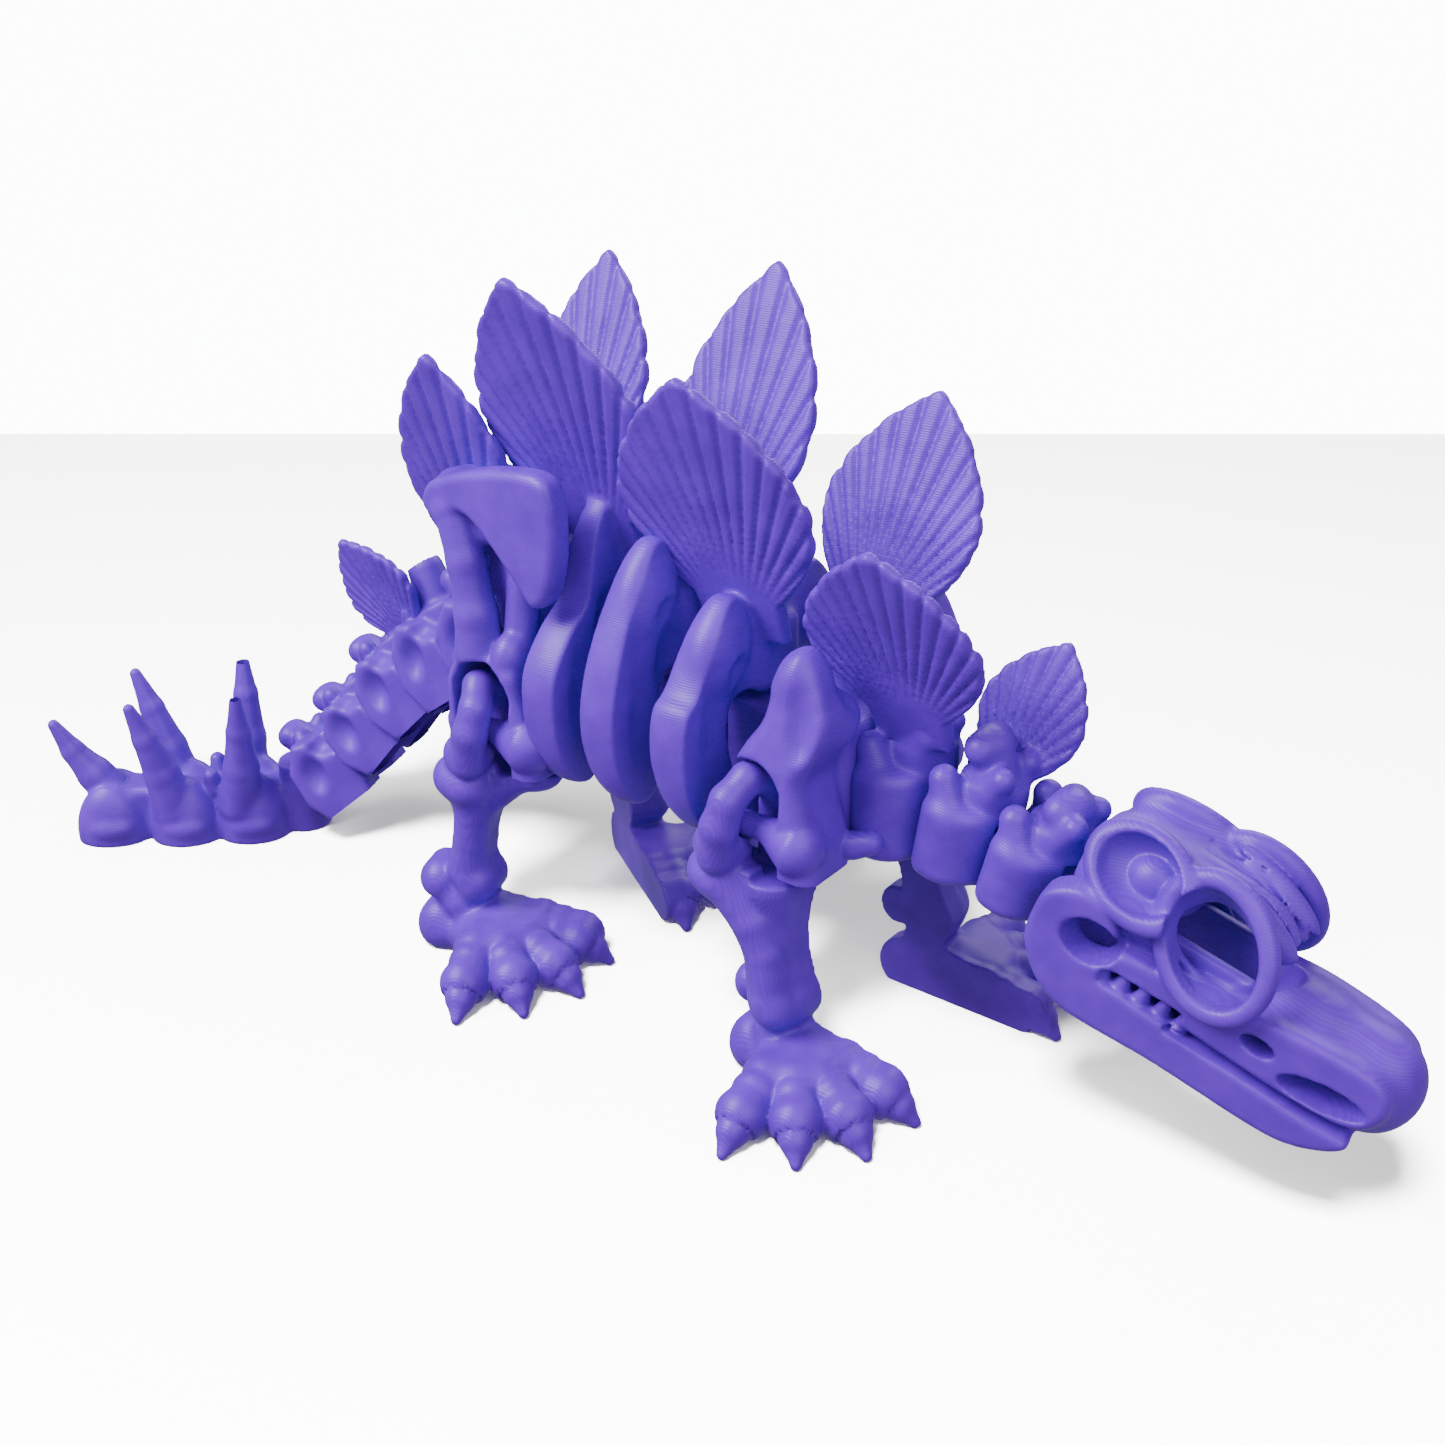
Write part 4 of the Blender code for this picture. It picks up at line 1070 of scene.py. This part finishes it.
def all_clay():
    """Each link with its clay and its material, made one at a time."""
    yield "skull", skull(), UPRIGHT
    yield "neck_1", neck("neck_1", "neck_2", 10.4, (0.5, 0, 11.0)), UPRIGHT
    yield "neck_2", neck("neck_2", "neck_3", 11.0, (-1.5, 0, 14.5), PLATES["neck_2"]), UPRIGHT
    yield "neck_3", neck("neck_3", "shoulder_girdle", 11.6, (0, 0, 16.5), PLATES["neck_3"]), UPRIGHT
    yield "shoulder_girdle", shoulder_girdle(), UPRIGHT
    yield "front_ribs", ribs("front_ribs", "middle_ribs", -24.0, 86.0, PLATES["front_ribs"]), UPRIGHT
    yield "middle_ribs", ribs("middle_ribs", "rear_ribs", -40.0, 93.0, PLATES["middle_ribs"]), UPRIGHT
    yield "rear_ribs", ribs("rear_ribs", "hip_girdle", -54.0, 97.0, PLATES["rear_ribs"], narrow=True), UPRIGHT
    yield "hip_girdle", hip_girdle(), UPRIGHT
    for link, behind in zip(REAR[2:], REAR[3:]):
        yield link, tail(link, behind, PLATES.get(link)), UPRIGHT
    yield "tail_club", tail_club(), UPRIGHT
    yield "front_leg_right", front_leg(-1, "front_leg_right_splay"), SIDEWAYS
    yield "front_leg_left", front_leg(1, "front_leg_left_splay", 3.6), SIDEWAYS
    yield "hind_leg_right", hind_leg(-1, "hind_leg_right_splay", -22.0), SIDEWAYS
    yield "hind_leg_left", hind_leg(1, "hind_leg_left_splay", -32.0, 4.0), SIDEWAYS


for link, clay, material in all_clay():
    printed = mesh_of(f"{link}_print", clay, material)
    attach(printed, link)
    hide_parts(link)


# ---------------------------------------------------------------- table, light and camera
def plain(name, colour, roughness):
    """A plain finish with a faint unevenness."""
    material = bpy.data.materials.new(name)
    material.use_nodes = True
    nodes, links = material.node_tree.nodes, material.node_tree.links
    shader = nodes["Principled BSDF"]
    shader.inputs["Roughness"].default_value = roughness
    noise = nodes.new("ShaderNodeTexNoise")
    noise.inputs["Scale"].default_value = 8.0
    ramp = nodes.new("ShaderNodeValToRGB")
    ramp.color_ramp.elements[0].color = (*[0.985 * c for c in colour], 1)
    ramp.color_ramp.elements[1].color = (*colour, 1)
    links.new(noise.outputs["Fac"], ramp.inputs[0])
    links.new(ramp.outputs["Color"], shader.inputs["Base Color"])
    return material


def sheet(name, corners, material):
    mesh = bpy.data.meshes.new(name)
    mesh.from_pydata([tuple((np.array(c) + ORIGIN) * MM) for c in corners], [], [(0, 1, 2, 3)])
    mesh.materials.append(material)
    obj = bpy.data.objects.new(name, mesh)
    bpy.context.scene.collection.objects.link(obj)
    return obj


EYE = np.array([143.05, -230.46, 193.44])  # the camera, from the front ankles' ground point
LOOK = np.array([-0.5453, 0.7185, -0.4317])
LENS = 42.794
TABLE_EDGE = 673.0  # from under the camera to the table's far edge


def stage():
    """The table, just under the feet, and a bright wall beyond it. Neither lights the toy."""
    ahead = np.array([LOOK[0], LOOK[1], 0]) / math.hypot(LOOK[0], LOOK[1])
    across = np.array([-ahead[1], ahead[0], 0])
    foot = np.array([EYE[0], EYE[1], 0])
    far, near, wide = foot + TABLE_EDGE * ahead, foot - 900 * ahead, 1800 * across
    down = np.array([0, 0, 0.05])
    white = plain("table white", (0.93, 0.92, 0.90), 0.5)
    corners = (near + wide, near - wide, far - wide, far + wide)
    table = sheet("table", [corner - down for corner in corners], white)
    middle = foot + 2200 * ahead
    tall = np.array([0, 0, 2500.0])
    bright = plain("wall white", (0.93, 0.97, 0.97), 0.8)
    glow = bright.node_tree.nodes["Principled BSDF"].inputs
    glow["Emission Color"].default_value = (0.94, 1.0, 0.99, 1)
    glow["Emission Strength"].default_value = 13.0
    one_end, other_end = middle + 2 * wide, middle - 2 * wide
    wall = sheet("wall", [one_end - tall, other_end - tall, other_end + tall, one_end + tall], bright)
    for obj in (table, wall):
        obj.visible_diffuse = False
        obj.visible_glossy = False
    return table


def lamp(name, place, aim, size, watts, only=None):
    """A rectangular lamp, which lights all or only one object."""
    light = bpy.data.lights.new(name, "AREA")
    light.shape = "RECTANGLE"
    light.size, light.size_y = size[0] * MM, size[1] * MM
    light.energy = watts
    obj = bpy.data.objects.new(name, light)
    bpy.context.scene.collection.objects.link(obj)
    spot, to = (np.array(place, float) + ORIGIN) * MM, (np.array(aim, float) + ORIGIN) * MM
    obj.location = Vector(spot)
    obj.rotation_euler = Vector(to - spot).to_track_quat("-Z", "Y").to_euler()
    if only is not None:
        lit = bpy.data.collections.new(f"lit by {name}")
        lit.objects.link(only)
        obj.light_linking.receiver_collection = lit


def camera():
    lens = bpy.data.cameras.new("camera")
    lens.sensor_width = 36.0
    lens.lens = LENS
    lens.clip_end = 20.0
    obj = bpy.data.objects.new("camera", lens)
    bpy.context.scene.collection.objects.link(obj)
    turn = Vector(LOOK).to_track_quat("-Z", "Y")
    obj.matrix_world = Matrix.Translation(Vector((EYE + ORIGIN) * MM)) @ turn.to_matrix().to_4x4()
    bpy.context.scene.camera = obj


def world(strength):
    sky = bpy.data.worlds.new("studio")
    sky.use_nodes = True
    shade = sky.node_tree.nodes["Background"]
    shade.inputs["Color"].default_value = (0.95, 0.98, 1.0, 1)
    shade.inputs["Strength"].default_value = strength
    bpy.context.scene.world = sky


table = stage()
world(0.42)
lamp("key", (-330, -430, 600), (-40, 0, 40), (420, 420), 13.0)
lamp("fill", (420, -260, 420), (-20, 0, 50), (500, 500), 2.5)
lamp("back", (-100, 600, 520), (-40, 0, 40), (700, 400), 4.0)
lamp("table lamp", (150, -560, 900), (-20, 60, 0), (200, 200), 150.0, only=table)
camera()
